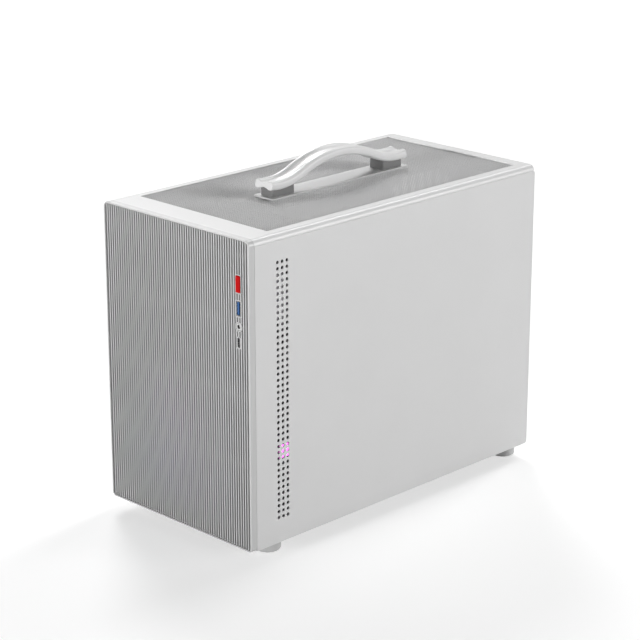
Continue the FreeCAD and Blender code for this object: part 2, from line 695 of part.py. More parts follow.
def mains_inlet():
    x, y, z = INLET_AT
    flange = rounded_box(x - INLET_FLANGE_W / 2, x + INLET_FLANGE_W / 2, y, y + INLET_FLANGE_T,
                         z - INLET_FLANGE_H / 2, z + INLET_FLANGE_H / 2, INLET_FLANGE_R, AXIS_Y)
    half_w, half_h = INLET_W / 2 + INLET_WALL - PLAY, INLET_H / 2 + INLET_WALL - PLAY
    cup = box(x - half_w, x + half_w, y - INLET_DEPTH, y, z - half_h, z + half_h)
    well = box(x - INLET_W / 2, x + INLET_W / 2, y - INLET_DEPTH + INLET_WALL, y + INLET_FLANGE_T,
               z - INLET_H / 2, z + INLET_H / 2)
    well = rounded(well, INLET_W / 4, AXIS_Y, lambda m: m.x < x)
    holes = [rod(IO_SCREW_R + SCREW_PLAY, p, p.add(V(0, INLET_FLANGE_T, 0))) for p in inlet_screw_places()]
    return cut_all(merged(flange, cup), [well] + holes)


def inlet_pins():
    pins = []
    floor = INLET_AT.y - INLET_DEPTH + INLET_WALL
    for step, offset in ((-PIN_STEP, PIN_OFFSET), (0, -PIN_OFFSET), (PIN_STEP, PIN_OFFSET)):
        x, z = INLET_AT.x + offset, INLET_AT.z + step
        pins.append(box(x - PIN_W / 2, x + PIN_W / 2, floor, floor + PIN_L, z - PIN_T / 2, z + PIN_T / 2))
    return Part.makeCompound(pins)


def flat_screw(radius, head_radius, seat, out, reach):
    """Screw with a disc head on its seat; out points away from the work."""
    head = rod(head_radius, seat, seat.add(V(out).multiply(HEAD_T)))
    return merged(head, rod(radius, seat, seat.sub(V(out).multiply(reach))))


def inlet_screws():
    seats = [p.add(V(0, INLET_FLANGE_T, 0)) for p in inlet_screw_places()]
    reach = INLET_FLANGE_T + 4 * SHEET
    return Part.makeCompound([flat_screw(IO_SCREW_R, 2 * IO_SCREW_R, p, AXIS_Y, reach) for p in seats])


# Fan wall and lit fan

def fan_wall():
    half = X_CHASSIS - WALL_SIDE_GAP
    y0, y1 = Y_FAN_WALL, Y_FAN_WALL + SHEET
    wall = box(-half, half, y0, y1, Z_FLOOR, Z_CEILING)
    z = Z_CEILING - POWER_DROP
    tools = [rod(FAN_BORE_R, V(0, y0, Z_FAN), V(0, y1, Z_FAN))]
    tools += fan_corner_holes(0, Z_FAN, y0, y1, SCREW_R + SCREW_PLAY)
    tools.append(rounded_box(-POWER_OPEN_W / 2, POWER_OPEN_W / 2, y0, y1, z - POWER_OPEN_H / 2,
                             z + POWER_OPEN_H / 2, PASS_R, AXIS_Y))
    tools += [rod(SCREW_R, V(sx * POWER_HOLE_W / 2, y0, z + sz * POWER_HOLE_H / 2),
                  V(sx * POWER_HOLE_W / 2, y1, z + sz * POWER_HOLE_H / 2))
              for sx in (-1, 1) for sz in (-1, 1)]
    gap = (Z_FAN + FAN / 2 + z - POWER_HOLE_H / 2) / 2
    tools.append(rounded_box(-CABLE_PASS_W / 2, CABLE_PASS_W / 2, y0, y1, gap - CABLE_PASS_H / 2,
                             gap + CABLE_PASS_H / 2, PASS_R, AXIS_Y))
    return cut_all(wall, tools)


Y_FAN = Y_FAN_WALL - FAN_T
Y_RING = Y_FAN_WALL - RING_OFFSET
Y_MOTOR = Y_FAN_WALL - MOTOR_T


def on_fan(y):
    return V(0, y, Z_FAN)


def fan_frame():
    half = FAN / 2
    block = rounded_box(-half, half, Y_FAN, Y_FAN_WALL, Z_FAN - half, Z_FAN + half, FAN_CORNER_R, AXIS_Y)
    groove = rod(RING_R + PLAY, on_fan(Y_RING - RING_L), on_fan(Y_FAN_WALL))
    tools = [rod(FAN_BORE_R, on_fan(Y_FAN), on_fan(Y_FAN_WALL)), groove]
    tools += fan_corner_holes(0, Z_FAN, Y_FAN, Y_FAN_WALL, SCREW_R + SCREW_PLAY)
    frame = cut_all(block, tools)
    strut = box(-RING_R - STRUT_W / 2, RING_R + STRUT_W / 2, Y_MOTOR, Y_FAN_WALL,
                Z_FAN - STRUT_W / 2, Z_FAN + STRUT_W / 2)
    struts = [strut.rotated(on_fan(0), AXIS_Y, angle) for angle in (45, 135)]
    motor = rod(MOTOR_R, on_fan(Y_MOTOR), on_fan(Y_FAN_WALL))
    boss = rod(BOSS_R, on_fan(Y_MOTOR - BOSS_L), on_fan(Y_MOTOR))
    frame = merged(frame, *struts, motor, boss)
    return frame.cut(rod(SHAFT_R + SHAFT_PLAY, on_fan(Y_MOTOR - BOSS_L), on_fan(Y_MOTOR + MOTOR_T / 2)))


def fan_light_ring():
    return tube(RING_R, FAN_BORE_R, on_fan(Y_RING - RING_L), on_fan(Y_RING))


def blade():
    """One blade, straight from root to tip, flatter at the tip."""
    def section(radius, pitch):
        half, t = BLADE_CHORD / 2, BLADE_T / 2
        corners = [V(-half, -t, 0), V(half, -t, 0), V(half, t, 0), V(-half, t, 0), V(-half, -t, 0)]
        wire = Part.makePolygon(corners)
        wire.rotate(V(0, 0, 0), AXIS_Z, pitch)
        wire.translate(V(0, Y_MOTOR - SHEET - HUB_L / 2, Z_FAN + radius))
        return wire
    root = section(HUB_R - HUB_WALL / 2, BLADE_ROOT_DEG)
    tip = section(FAN_BORE_R - BLADE_TIP_GAP, BLADE_TIP_DEG)
    return Part.makeLoft([root, tip], True, True)


def fan_rotor():
    y1 = Y_MOTOR - SHEET
    y0 = y1 - HUB_L
    hub = rod(HUB_R, on_fan(y0), on_fan(y1)).cut(rod(HUB_R - HUB_WALL, on_fan(y0 + HUB_WALL), on_fan(y1)))
    shaft = rod(SHAFT_R, on_fan(y0 + HUB_WALL / 2), on_fan(Y_MOTOR + MOTOR_T / 4))
    one = blade().cut(rod(HUB_R - HUB_WALL / 2, on_fan(y0), on_fan(y1)))
    blades = [one.rotated(on_fan(0), AXIS_Y, 360 * i / BLADES) for i in range(BLADES)]
    rotor = merged(hub, shaft, *blades)
    limit = rod(FAN_BORE_R - BLADE_TIP_GAP, on_fan(Y_FAN), on_fan(Y_FAN_WALL))
    return rotor.common(limit)


def fan_screws():
    seats = fan_corners(0, Y_FAN_WALL + SHEET, Z_FAN)
    return Part.makeCompound([flat_screw(SCREW_R, HEAD_R, seat, AXIS_Y, FAN_T / 2) for seat in seats])


# Carrying handle

def grip_section():
    """Section of the grip in the XZ plane: two ridges with a groove between, hollow below."""
    side = HANDLE_W / 2
    crest, belly = side - RIDGE_SET, side - BELLY_R
    bend = math.sqrt(0.5)
    right = [
        Part.Arc(V(0, 0, -GROOVE_DEPTH), V(GROOVE_HALF / 2, 0, (-GROOVE_DEPTH * 3 - GROOVE_LIP) / 4),
                 V(GROOVE_HALF, 0, -GROOVE_LIP)),
        Part.Arc(V(GROOVE_HALF, 0, -GROOVE_LIP), V(crest, 0, 0), V(side, 0, -RIDGE_DROP)),
        Part.LineSegment(V(side, 0, -RIDGE_DROP), V(side, 0, -HANDLE_T + BELLY_R)),
        Part.Arc(V(side, 0, -HANDLE_T + BELLY_R),
                 V(belly + BELLY_R * bend, 0, -HANDLE_T + BELLY_R - BELLY_R * bend), V(belly, 0, -HANDLE_T)),
        Part.LineSegment(V(belly, 0, -HANDLE_T), V(CHANNEL_HALF, 0, -HANDLE_T)),
        Part.Arc(V(CHANNEL_HALF, 0, -HANDLE_T), V(CHANNEL_HALF / 2, 0, -HANDLE_T + CHANNEL_DEPTH * 0.75),
                 V(0, 0, -HANDLE_T + CHANNEL_DEPTH)),
    ]
    half = [curve.toShape() for curve in right]
    other = [across(edge) for edge in half]
    return Part.Face(Part.Wire(Part.__sortEdges__(half + other)))


DIP_R = (HANDLE_ARCH ** 2 + HANDLE_LOW ** 2) / (2 * HANDLE_ARCH) - ARCH_R
Z_GRIP = Z_TOP + HANDLE_END_RISE
BEND_DEG = math.degrees(math.asin(HANDLE_LOW / (ARCH_R + DIP_R)))
TIP_DEG = math.degrees(math.asin((HANDLE_HALF - HANDLE_LOW) / DIP_R))


def swung_section(height, start_deg, sweep_deg, centre):
    """Grip section held at a height from an axis along X and swung about it."""
    face = grip_section()
    face.translate(V(0, 0, height))
    face.rotate(V(0, 0, 0), AXIS_X, start_deg)
    solid = face.revolve(V(0, 0, 0), AXIS_X, sweep_deg)
    solid.translate(centre)
    return solid


def handle():
    arch = swung_section(ARCH_R, -BEND_DEG, 2 * BEND_DEG, V(0, Y_MIDDLE, Z_GRIP + HANDLE_ARCH - ARCH_R))
    rear = swung_section(-DIP_R, -BEND_DEG, BEND_DEG + TIP_DEG,
                         V(0, Y_MIDDLE + HANDLE_LOW, Z_GRIP + DIP_R))
    front = swung_section(-DIP_R, -TIP_DEG, BEND_DEG + TIP_DEG,
                          V(0, Y_MIDDLE - HANDLE_LOW, Z_GRIP + DIP_R))
    grip = merged(arch, rear, front)
    reach = Z_TOP + HANDLE_SCREW_REACH + PLAY
    return cut_all(grip, [rod(SCREW_R + SCREW_PLAY, V(0, y, Z_TOP), V(0, y, reach))
                          for y in HANDLE_SCREWS])


def handle_posts():
    posts = []
    grip = handle()
    for y in POST_MIDDLES:
        post = rounded_box(-POST_W / 2, POST_W / 2, y - POST_L / 2, y + POST_L / 2, Z_STRIP,
                           Z_TOP + POST_TOP, POST_R, AXIS_Z)
        post = post.cut(grip)
        holes = [rod(SCREW_R + SCREW_PLAY, V(0, s, Z_STRIP), V(0, s, Z_TOP + POST_TOP))
                 for s in HANDLE_SCREWS]
        posts.append(max(cut_all(post, holes).Solids, key=lambda solid: solid.Volume))
    return Part.makeCompound(posts)


def handle_strip():
    strip = rounded_box(-STRIP_W / 2, STRIP_W / 2, Y_MIDDLE - STRIP_L / 2, Y_MIDDLE + STRIP_L / 2,
                        Z_COVER, Z_STRIP, SHEET, AXIS_Z)
    return cut_all(strip, [rod(SCREW_R + SCREW_PLAY, V(0, y, Z_COVER), V(0, y, Z_STRIP))
                           for y in HANDLE_SCREWS])


def handle_rail():
    """Folded channel that carries the handle on the chassis, under the mesh."""
    half_l = STRIP_L / 2 + RAIL_EXTRA
    y0, y1 = Y_MIDDLE - half_l, Y_MIDDLE + half_l
    channel = box(-RAIL_W / 2, RAIL_W / 2, y0, y1, Z_FRAME, Z_MESH)
    inside = box(-RAIL_W / 2 + RAIL_T, RAIL_W / 2 - RAIL_T, y0, y1, Z_FRAME, Z_MESH - RAIL_T)
    return cut_all(channel.cut(inside), [rod(SCREW_R + SCREW_PLAY, V(0, y, Z_FRAME), V(0, y, Z_MESH))
                                         for y in HANDLE_SCREWS])


def handle_screws():
    reach = Z_TOP + HANDLE_SCREW_REACH - Z_CEILING
    return Part.makeCompound([flat_screw(SCREW_R, HEAD_R, V(0, y, Z_CEILING), V(0, 0, -1), reach)
                              for y in HANDLE_SCREWS])


# Feet

def feet():
    pads = []
    for x, y in FOOT_PLACES:
        pad = rod(FOOT_R, V(x, y, 0), V(x, y, FOOT_H))
        edge = [e for e in pad.Edges if abs(e.CenterOfMass.z) < SAME]
        pad = pad.makeFillet(FOOT_EDGE, edge)
        well = rod(FOOT_WELL_R, V(x, y, 0), V(x, y, FOOT_WELL))
        hole = rod(FOOT_SCREW_R + SCREW_PLAY, V(x, y, FOOT_WELL), V(x, y, FOOT_H))
        pads.append(cut_all(pad, [well, hole]))
    return Part.makeCompound(pads)


def foot_screws():
    reach = FOOT_H - FOOT_WELL + SHEET
    return Part.makeCompound([flat_screw(FOOT_SCREW_R, HEAD_R, V(x, y, FOOT_WELL), V(0, 0, -1), reach)
                              for x, y in FOOT_PLACES])


# Front sockets and power button

Y_SOCKET = Y_RIB + SOCKET_FLUSH
Y_CARRIER = Y_PANEL_BACK + CARRIER_GAP
Y_IO_BOARD = Y_CARRIER + CARRIER_DEPTH
Z_CARRIER_TOP = Z_TOP - BUTTON_DROP + BUTTON_H / 2 + CARRIER_END
Z_CARRIER_LOW = Z_TOP - SLIM_DROP - SLIM_H / 2 - CARRIER_END
Y_FLANGE = Y_CARRIER + CARRIER_LIP_T


def carrier_block(grow, y0, y1):
    return box(X_IO - CARRIER_W / 2 - grow, X_IO + CARRIER_W / 2 + grow, y0, y1,
               Z_CARRIER_LOW - grow, Z_CARRIER_TOP + grow)


def io_screw_places():
    upper = Z_TOP - (BUTTON_DROP + USB_DROP) / 2
    lower = Z_TOP - (JACK_DROP + SLIM_DROP) / 2
    return [(X_IO + CARRIER_W / 2 - IO_SCREW_INSET, z) for z in (upper, lower)]


def io_carrier():
    body = carrier_block(0, Y_CARRIER, Y_IO_BOARD)
    lip = carrier_block(CARRIER_LIP, Y_BAY, Y_BAY + CARRIER_LIP_T)
    body = merged(body, lip)
    tools = [port_block(name, PLAY, Y_CARRIER, Y_IO_BOARD) for name in PORTS]
    tools.append(port_block("button", PLAY + BUTTON_FLANGE, Y_FLANGE, Y_IO_BOARD))
    tools += [rod(IO_SCREW_R + SCREW_PLAY, V(x, Y_BAY, z), V(x, Y_IO_BOARD, z)) for x, z in io_screw_places()]
    return cut_all(body, tools)


def io_board():
    board = carrier_block(-SHEET, Y_IO_BOARD, Y_IO_BOARD + BOARD_T)
    return cut_all(board, [rod(IO_SCREW_R + SCREW_PLAY, V(x, Y_IO_BOARD, z), V(x, Y_IO_BOARD + BOARD_T, z))
                           for x, z in io_screw_places()])


def io_screws():
    seats = [V(x, Y_IO_BOARD + BOARD_T, z) for x, z in io_screw_places()]
    reach = BOARD_T + CARRIER_DEPTH / 2
    return Part.makeCompound([flat_screw(IO_SCREW_R, 2 * IO_SCREW_R, s, AXIS_Y, reach) for s in seats])


Z_BUTTON = Z_TOP - BUTTON_DROP


def power_button():
    back = Y_FLANGE + PLAY + BUTTON_FLANGE_T
    cap = port_block("button", 0, Y_RIB - BUTTON_PROUD, back)
    face = [e for e in cap.Edges if abs(e.CenterOfMass.y - Y_RIB + BUTTON_PROUD) < SAME]
    cap = cap.makeFillet(RIM_R, face)
    flange = port_block("button", BUTTON_FLANGE, Y_FLANGE + PLAY, back)
    stem = rod(STEM_R, V(X_IO, back, Z_BUTTON), V(X_IO, Y_IO_BOARD - SWITCH_T + PLAY, Z_BUTTON))
    return merged(cap, flange, stem)


def power_switch():
    half = SWITCH / 2
    y0 = Y_IO_BOARD - SWITCH_T
    block = box(X_IO - half, X_IO + half, y0, Y_IO_BOARD, Z_BUTTON - half, Z_BUTTON + half)
    well = rod(STEM_R + PLAY, V(X_IO, y0, Z_BUTTON), V(X_IO, y0 + BUTTON_TRAVEL + 3 * PLAY, Z_BUTTON))
    return block.cut(well)


def usb_shell():
    inside = port_block("usb", -USB_WALL, Y_SOCKET, Y_IO_BOARD)
    return port_block("usb", 0, Y_SOCKET, Y_IO_BOARD).cut(inside)


def usb_tongue():
    z = Z_TOP - USB_DROP
    x0 = X_IO - USB_W / 2 + USB_WALL + TONGUE_SET
    return box(x0, x0 + TONGUE_W, Y_SOCKET + TONGUE_SET, Y_IO_BOARD, z - TONGUE_H / 2, z + TONGUE_H / 2)


def audio_jack():
    z = Z_TOP - JACK_DROP
    body = port_block("jack", 0, Y_SOCKET, Y_IO_BOARD)
    return body.cut(rod(JACK_BORE_R, V(X_IO, Y_SOCKET, z), V(X_IO, Y_IO_BOARD - SHEET, z)))


def slim_shell():
    inside = port_block("slim", -SLIM_WALL, Y_SOCKET, Y_IO_BOARD)
    return port_block("slim", 0, Y_SOCKET, Y_IO_BOARD).cut(inside)


def slim_tongue():
    z = Z_TOP - SLIM_DROP
    half_w, half_h = SLIM_TONGUE_W / 2, SLIM_TONGUE_H / 2
    return box(X_IO - half_w, X_IO + half_w, Y_SOCKET + TONGUE_SET, Y_IO_BOARD, z - half_h, z + half_h)


PIECES = {
    "front_panel": front_panel,
    "front_clips": front_clips,
    "top_cover": top_cover,
    "top_mesh": top_mesh,
    "right_panel": vented_side_panel,
    "right_panel_studs": panel_studs,
    "left_panel": lambda: across(plain_side_panel()),
    "left_panel_studs": lambda: across(panel_studs()),
    "panel_sockets": panel_sockets,
    "base_pan": base_pan,
    "front_wall": front_wall,
    "top_frame": top_frame,
    "rear_panel": rear_panel,
    "board_tray": board_tray,
    "board_standoffs": board_standoffs,
    "slot_covers": slot_covers,
    "slot_thumbscrews": slot_thumbscrews,
    "mains_inlet": mains_inlet,
    "inlet_pins": inlet_pins,
    "inlet_screws": inlet_screws,
    "fan_wall": fan_wall,
    "fan_frame": fan_frame,
    "fan_light_ring": fan_light_ring,
    "fan_rotor": fan_rotor,
    "fan_screws": fan_screws,
    "handle": handle,
    "handle_posts": handle_posts,
    "handle_strip": handle_strip,
    "handle_rail": handle_rail,
    "handle_screws": handle_screws,
    "feet": feet,
    "foot_screws": foot_screws,
    "io_carrier": io_carrier,
    "io_board": io_board,
    "io_screws": io_screws,
    "power_button": power_button,
    "power_switch": power_switch,
    "usb_shell": usb_shell,
    "usb_tongue": usb_tongue,
    "audio_jack": audio_jack,
    "slim_shell": slim_shell,
    "slim_tongue": slim_tongue,
}

os.makedirs("parts", exist_ok=True)
for name, make in PIECES.items():
    shape = make()
    shape.exportStep(f"parts/{name}.step")
    state = "valid" if shape.isValid() else "INVALID"
    print(name, len(shape.Solids), "solids", round(shape.Volume, 1), "mm3", state)
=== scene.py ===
# %% [markdown]
# # A small white computer case with a carrying handle
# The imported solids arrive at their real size, in metres, with +Z up. Every piece below is made in that same
# place, so nothing has to be fitted. The lesson goes from the camera to the finishes, then from the outside
# of the case to what shows through its openings, and ends with the floor and the lights.

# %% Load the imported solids
import json
import math

import bmesh
import bpy
from mathutils import Matrix, Vector


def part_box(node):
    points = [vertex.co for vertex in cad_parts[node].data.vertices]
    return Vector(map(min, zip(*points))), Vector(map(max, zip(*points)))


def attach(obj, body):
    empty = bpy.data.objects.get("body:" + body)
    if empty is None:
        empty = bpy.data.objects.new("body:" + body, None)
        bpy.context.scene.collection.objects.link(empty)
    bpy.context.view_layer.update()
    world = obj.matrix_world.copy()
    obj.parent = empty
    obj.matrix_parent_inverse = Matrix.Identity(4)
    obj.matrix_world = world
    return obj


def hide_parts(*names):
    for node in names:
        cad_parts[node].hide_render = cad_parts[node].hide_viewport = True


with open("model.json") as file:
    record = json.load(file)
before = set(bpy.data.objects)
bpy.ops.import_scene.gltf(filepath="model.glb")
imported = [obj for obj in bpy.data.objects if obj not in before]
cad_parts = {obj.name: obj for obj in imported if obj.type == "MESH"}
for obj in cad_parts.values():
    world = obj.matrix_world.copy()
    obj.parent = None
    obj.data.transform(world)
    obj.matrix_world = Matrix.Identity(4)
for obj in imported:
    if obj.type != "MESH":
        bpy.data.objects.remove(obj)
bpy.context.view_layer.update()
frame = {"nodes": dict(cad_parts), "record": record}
MM = 0.001


def span(node):
    """Lowest and highest corner of a solid, in millimetres."""
    low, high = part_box(node)
    return low / MM, high / MM


def link(item):
    bpy.context.scene.collection.objects.link(item)
    return item


# %% [markdown]
# The picture was taken with a long lens, from a little above and half way round to the right, so that the
# front and the right side are seen at about the same angle. A long lens keeps the upright edges nearly
# parallel. The focal length is given in pixels of the 640 pixel frame, because that is how a camera is
# measured from a picture.

# %% Camera
IMAGE_PX = 640
FOCAL_PX = 2147.0
SENSOR_MM = 36.0
CAMERA_AT = Vector((1329.5, -1346.4, 780.5))
CAMERA_YAW = 44.81
CAMERA_PITCH = 18.15

lens = bpy.data.cameras.new("camera")
lens.sensor_width = SENSOR_MM
lens.lens = FOCAL_PX / IMAGE_PX * SENSOR_MM
camera = link(bpy.data.objects.new("camera", lens))
camera.location = CAMERA_AT * MM
camera.rotation_euler = (math.radians(90 - CAMERA_PITCH), 0, math.radians(CAMERA_YAW))
bpy.context.scene.camera = camera
print("lens", round(lens.lens, 1), "mm")

# %% [markdown]
# A finish is a small sum: some grain, times a strength, plus a base value. Wiring that by hand takes a Math
# node for every sign. Here a class wraps a socket, so that Python's own operators add the Math nodes.

# %% Shader sums
class Value:
    """A shader socket that takes part in Python sums."""

    def __init__(self, finish, socket):
        self.finish = finish
        self.socket = socket

    def math(self, operation, first, second):
        return self.finish.add("ShaderNodeMath", {"operation": operation}, {0: first, 1: second})

    def __add__(self, other):
        return self.math("ADD", self, other)

    def __mul__(self, other):
        return self.math("MULTIPLY", self, other)

    __radd__, __rmul__ = __add__, __mul__


print("sockets add and multiply")

# %% [markdown]
# A finish is one material. Every node in it comes from one method, which sets the node up first and then
# feeds its sockets. The patterns that most finishes need, such as a grain of a given size, are small
# methods too.

# %% One material
class Finish:
    """One material: a node tree that ends in a Principled shader."""

    def __init__(self, name):
        self.material = bpy.data.materials.new(name)
        self.material.use_nodes = True
        self.tree = self.material.node_tree
        self.shader = self.tree.nodes["Principled BSDF"]

    def add(self, kind, settings=None, sockets=None, out=0):
        node = self.tree.nodes.new(kind)
        for key, value in (settings or {}).items():
            if key == "stops":
                self.set_stops(node.color_ramp, value)
            else:
                setattr(node, key, value)
        for key, value in (sockets or {}).items():
            self.feed(node.inputs[key], value)
        return Value(self, node.outputs[out])

    def set_stops(self, ramp, stops):
        while len(ramp.elements) < len(stops):
            ramp.elements.new(0.5)
        for element, (position, colour) in zip(ramp.elements, stops):
            element.position = position
            element.color = (*colour, 1)

    def feed(self, socket, value):
        if isinstance(value, Value):
            self.tree.links.new(value.socket, socket)
        else:
            socket.default_value = value

    def shade(self, sockets):
        for key, value in sockets.items():
            self.feed(self.shader.inputs[key], value)
        return self.material

    def place(self):
        """Place on the piece in millimetres. It moves with the piece."""
        coords = self.add("ShaderNodeTexCoord", out="Object")
        return self.add("ShaderNodeVectorMath", {"operation": "SCALE"}, {0: coords, "Scale": 1 / MM})

    def grain(self, size, detail=2.0):
        """Noise from 0 to 1 whose grains are about size millimetres across."""
        return self.add("ShaderNodeTexNoise", None,
                        {"Vector": self.place(), "Scale": 1 / size, "Detail": detail})

    def mix(self, factor, first, second):
        return self.add("ShaderNodeMix", {"data_type": "RGBA"}, {0: factor, 6: first, 7: second}, out=2)

    def shades(self, pattern, colour, darkest, lightest):
        """The colour, times darkest where the pattern is 0 and times lightest where it is 1."""
        return self.mix(pattern, tone(colour, darkest), tone(colour, lightest))

    def bump(self, height, depth):
        """Normal of a surface that rises by depth millimetres where height is 1."""
        return self.add("ShaderNodeBump", None, {"Height": height, "Distance": depth * MM}, out="Normal")


def grey(level):
    return (level, level, level, 1)


def tone(colour, share):
    return (*(channel * share for channel in colour[:3]), 1)


print("one method adds every node")

# %% [markdown]
# Powder coat is paint that was baked on steel as a dry powder. It melts into a skin with tiny even bumps,
# about half a millimetre apart, which blur every reflection. A painted sheet is also never quite even: its
# colour drifts by a percent or two over some centimetres. Moulded plastic has a finer, sharper grain, cut
# into the mould by sparks, and a little more gloss.

# %% Paint and plastic
SKIN_SIZE, SKIN_DEPTH, SKIN_BLUR, CLOUD_SIZE = 0.55, 0.018, 0.12, 55.0
PAINT_SHADES = (0.975, 1.02)
SPARK_SIZE, SPARK_DEPTH, SPARK_BLUR, FLOW_SIZE = 0.22, 0.008, 0.10, 24.0
PLASTIC_SHADES = (0.97, 1.02)


def powder_coat(name, colour, roughness, gloss=0.4):
    finish = Finish(name)
    skin = finish.grain(SKIN_SIZE, detail=3.0)
    return finish.shade({
        "Base Color": finish.shades(finish.grain(CLOUD_SIZE), colour, *PAINT_SHADES),
        "Roughness": roughness - SKIN_BLUR / 2 + SKIN_BLUR * skin,
        "Specular IOR Level": gloss,
        "Normal": finish.bump(skin, SKIN_DEPTH),
    })


def moulded(name, colour, roughness, grain_depth=SPARK_DEPTH, gloss=0.45):
    finish = Finish(name)
    sparks = finish.grain(SPARK_SIZE)
    return finish.shade({
        "Base Color": finish.shades(finish.grain(FLOW_SIZE), colour, *PLASTIC_SHADES),
        "Roughness": roughness - SPARK_BLUR / 2 + SPARK_BLUR * sparks,
        "Specular IOR Level": gloss,
        "Normal": finish.bump(sparks, grain_depth),
    })


print("grain of paint and plastic:", SKIN_SIZE, "and", SPARK_SIZE, "mm")

# %% [markdown]
# The small hardware is plated or turned metal. Zinc plate freezes in flat patches that mirror the light a
# little differently, which Voronoi cells give. Turned brass keeps the fine rings of the cutting tool.
# Nickel on stamped sheet is smooth, with faint scuffs from handling. All three share the same four sockets.

# %% Metals
CELL_SCALE, RING_SCALE = 1.6, 2.2


def bare_metal(finish, colour, shades, drift, roughness, pattern, relief, depth):
    """Metal whose colour drifts, whose roughness follows a pattern and whose surface has a relief."""
    smoothest, roughest = roughness
    return finish.shade({
        "Base Color": finish.shades(drift, colour, *shades),
        "Metallic": 1.0,
        "Roughness": smoothest + (roughest - smoothest) * pattern,
        "Normal": finish.bump(relief, depth),
    })


def zinc_plate(name, colour):
    finish = Finish(name)
    cells = finish.add("ShaderNodeTexVoronoi", None,
                       {"Vector": finish.place(), "Scale": CELL_SCALE}, out="Color")
    patch = finish.add("ShaderNodeRGBToBW", None, {0: cells})
    return bare_metal(finish, colour, shades=(0.86, 1.08), drift=patch, roughness=(0.26, 0.42), pattern=patch,
                      relief=finish.grain(size=0.3), depth=0.006)


def turned_brass(name, colour):
    finish = Finish(name)
    rings = finish.add("ShaderNodeTexWave", {"bands_direction": "X"},
                       {"Vector": finish.place(), "Scale": RING_SCALE})
    return bare_metal(finish, colour, shades=(0.9, 1.06), drift=finish.grain(size=3.0),
                      roughness=(0.24, 0.34), pattern=rings, relief=rings, depth=0.01)


def nickel(name, colour):
    finish = Finish(name)
    scuff = finish.grain(size=0.8, detail=6.0)
    return bare_metal(finish, colour, shades=(0.9, 1.05), drift=scuff, roughness=(0.18, 0.36), pattern=scuff,
                      relief=scuff, depth=0.004)


print("metals: zinc plate, turned brass and nickel")

# %% [markdown]
# Two finishes are special. The small board behind the front sockets has a glossy green mask over copper
# tracks, which shows as slightly lighter and raised lines. The ring of the fan glows: its colour goes round
# with the angle, from violet over blue and pink to teal and green, as the chain of tiny lamps behind a
# diffuser does.

# %% Board and glow
TRACK_SCALE, TRACK_W, TRACK_STAGGER, TRACK_DEPTH, TRACK_SHADE = 0.35, 0.04, 0.35, 0.03, 2.2
MASK_ROUGH, MASK_BLUR = 0.22, 0.12
DIFFUSER_ROUGH, DIFFUSER_BLUR = 0.45, 0.10
GLOW_STOPS = (
    (0.00, (0.30, 0.10, 0.72)), (0.20, (0.08, 0.20, 0.75)),
    (0.40, (0.30, 0.10, 0.72)), (0.50, (0.80, 0.10, 0.65)),
    (0.56, (0.85, 0.12, 0.70)), (0.62, (0.10, 0.55, 0.55)),
    (0.80, (0.08, 0.45, 0.30)), (1.00, (0.30, 0.10, 0.72)),
)


def solder_mask(name, colour):
    finish = Finish(name)
    tracks = finish.add("ShaderNodeTexBrick", {"offset": TRACK_STAGGER},
                        {"Vector": finish.place(), "Scale": TRACK_SCALE, "Mortar Size": TRACK_W}, out="Fac")
    return finish.shade({
        "Base Color": finish.shades(tracks, colour, 1.0, TRACK_SHADE),
        "Roughness": MASK_ROUGH + MASK_BLUR * tracks,
        "Normal": finish.bump(tracks, TRACK_DEPTH),
    })


def lit_ring(name, strength):
    """Colour by the angle round the fan's axis, which runs along Y through the middle of the ring."""
    finish = Finish(name)
    low, high = span("fan_light_ring")
    middle = (low + high) / 2
    place = finish.add("ShaderNodeVectorMath", {"operation": "SUBTRACT"}, {0: finish.place(), 1: middle})
    across = finish.add("ShaderNodeSeparateXYZ", None, {0: place})
    height = Value(finish, across.socket.node.outputs["Z"])
    angle = across.math("ARCTAN2", height, across)
    turn = 0.5 + angle * (0.5 / math.pi)
    colour = finish.add("ShaderNodeValToRGB", {"stops": GLOW_STOPS}, {0: turn})
    return finish.shade({
        "Base Color": grey(0.5), "Roughness": DIFFUSER_ROUGH + DIFFUSER_BLUR * finish.grain(1.0),
        "Emission Color": colour, "Emission Strength": strength,
    })


print(len(GLOW_STOPS), "colours round the ring")
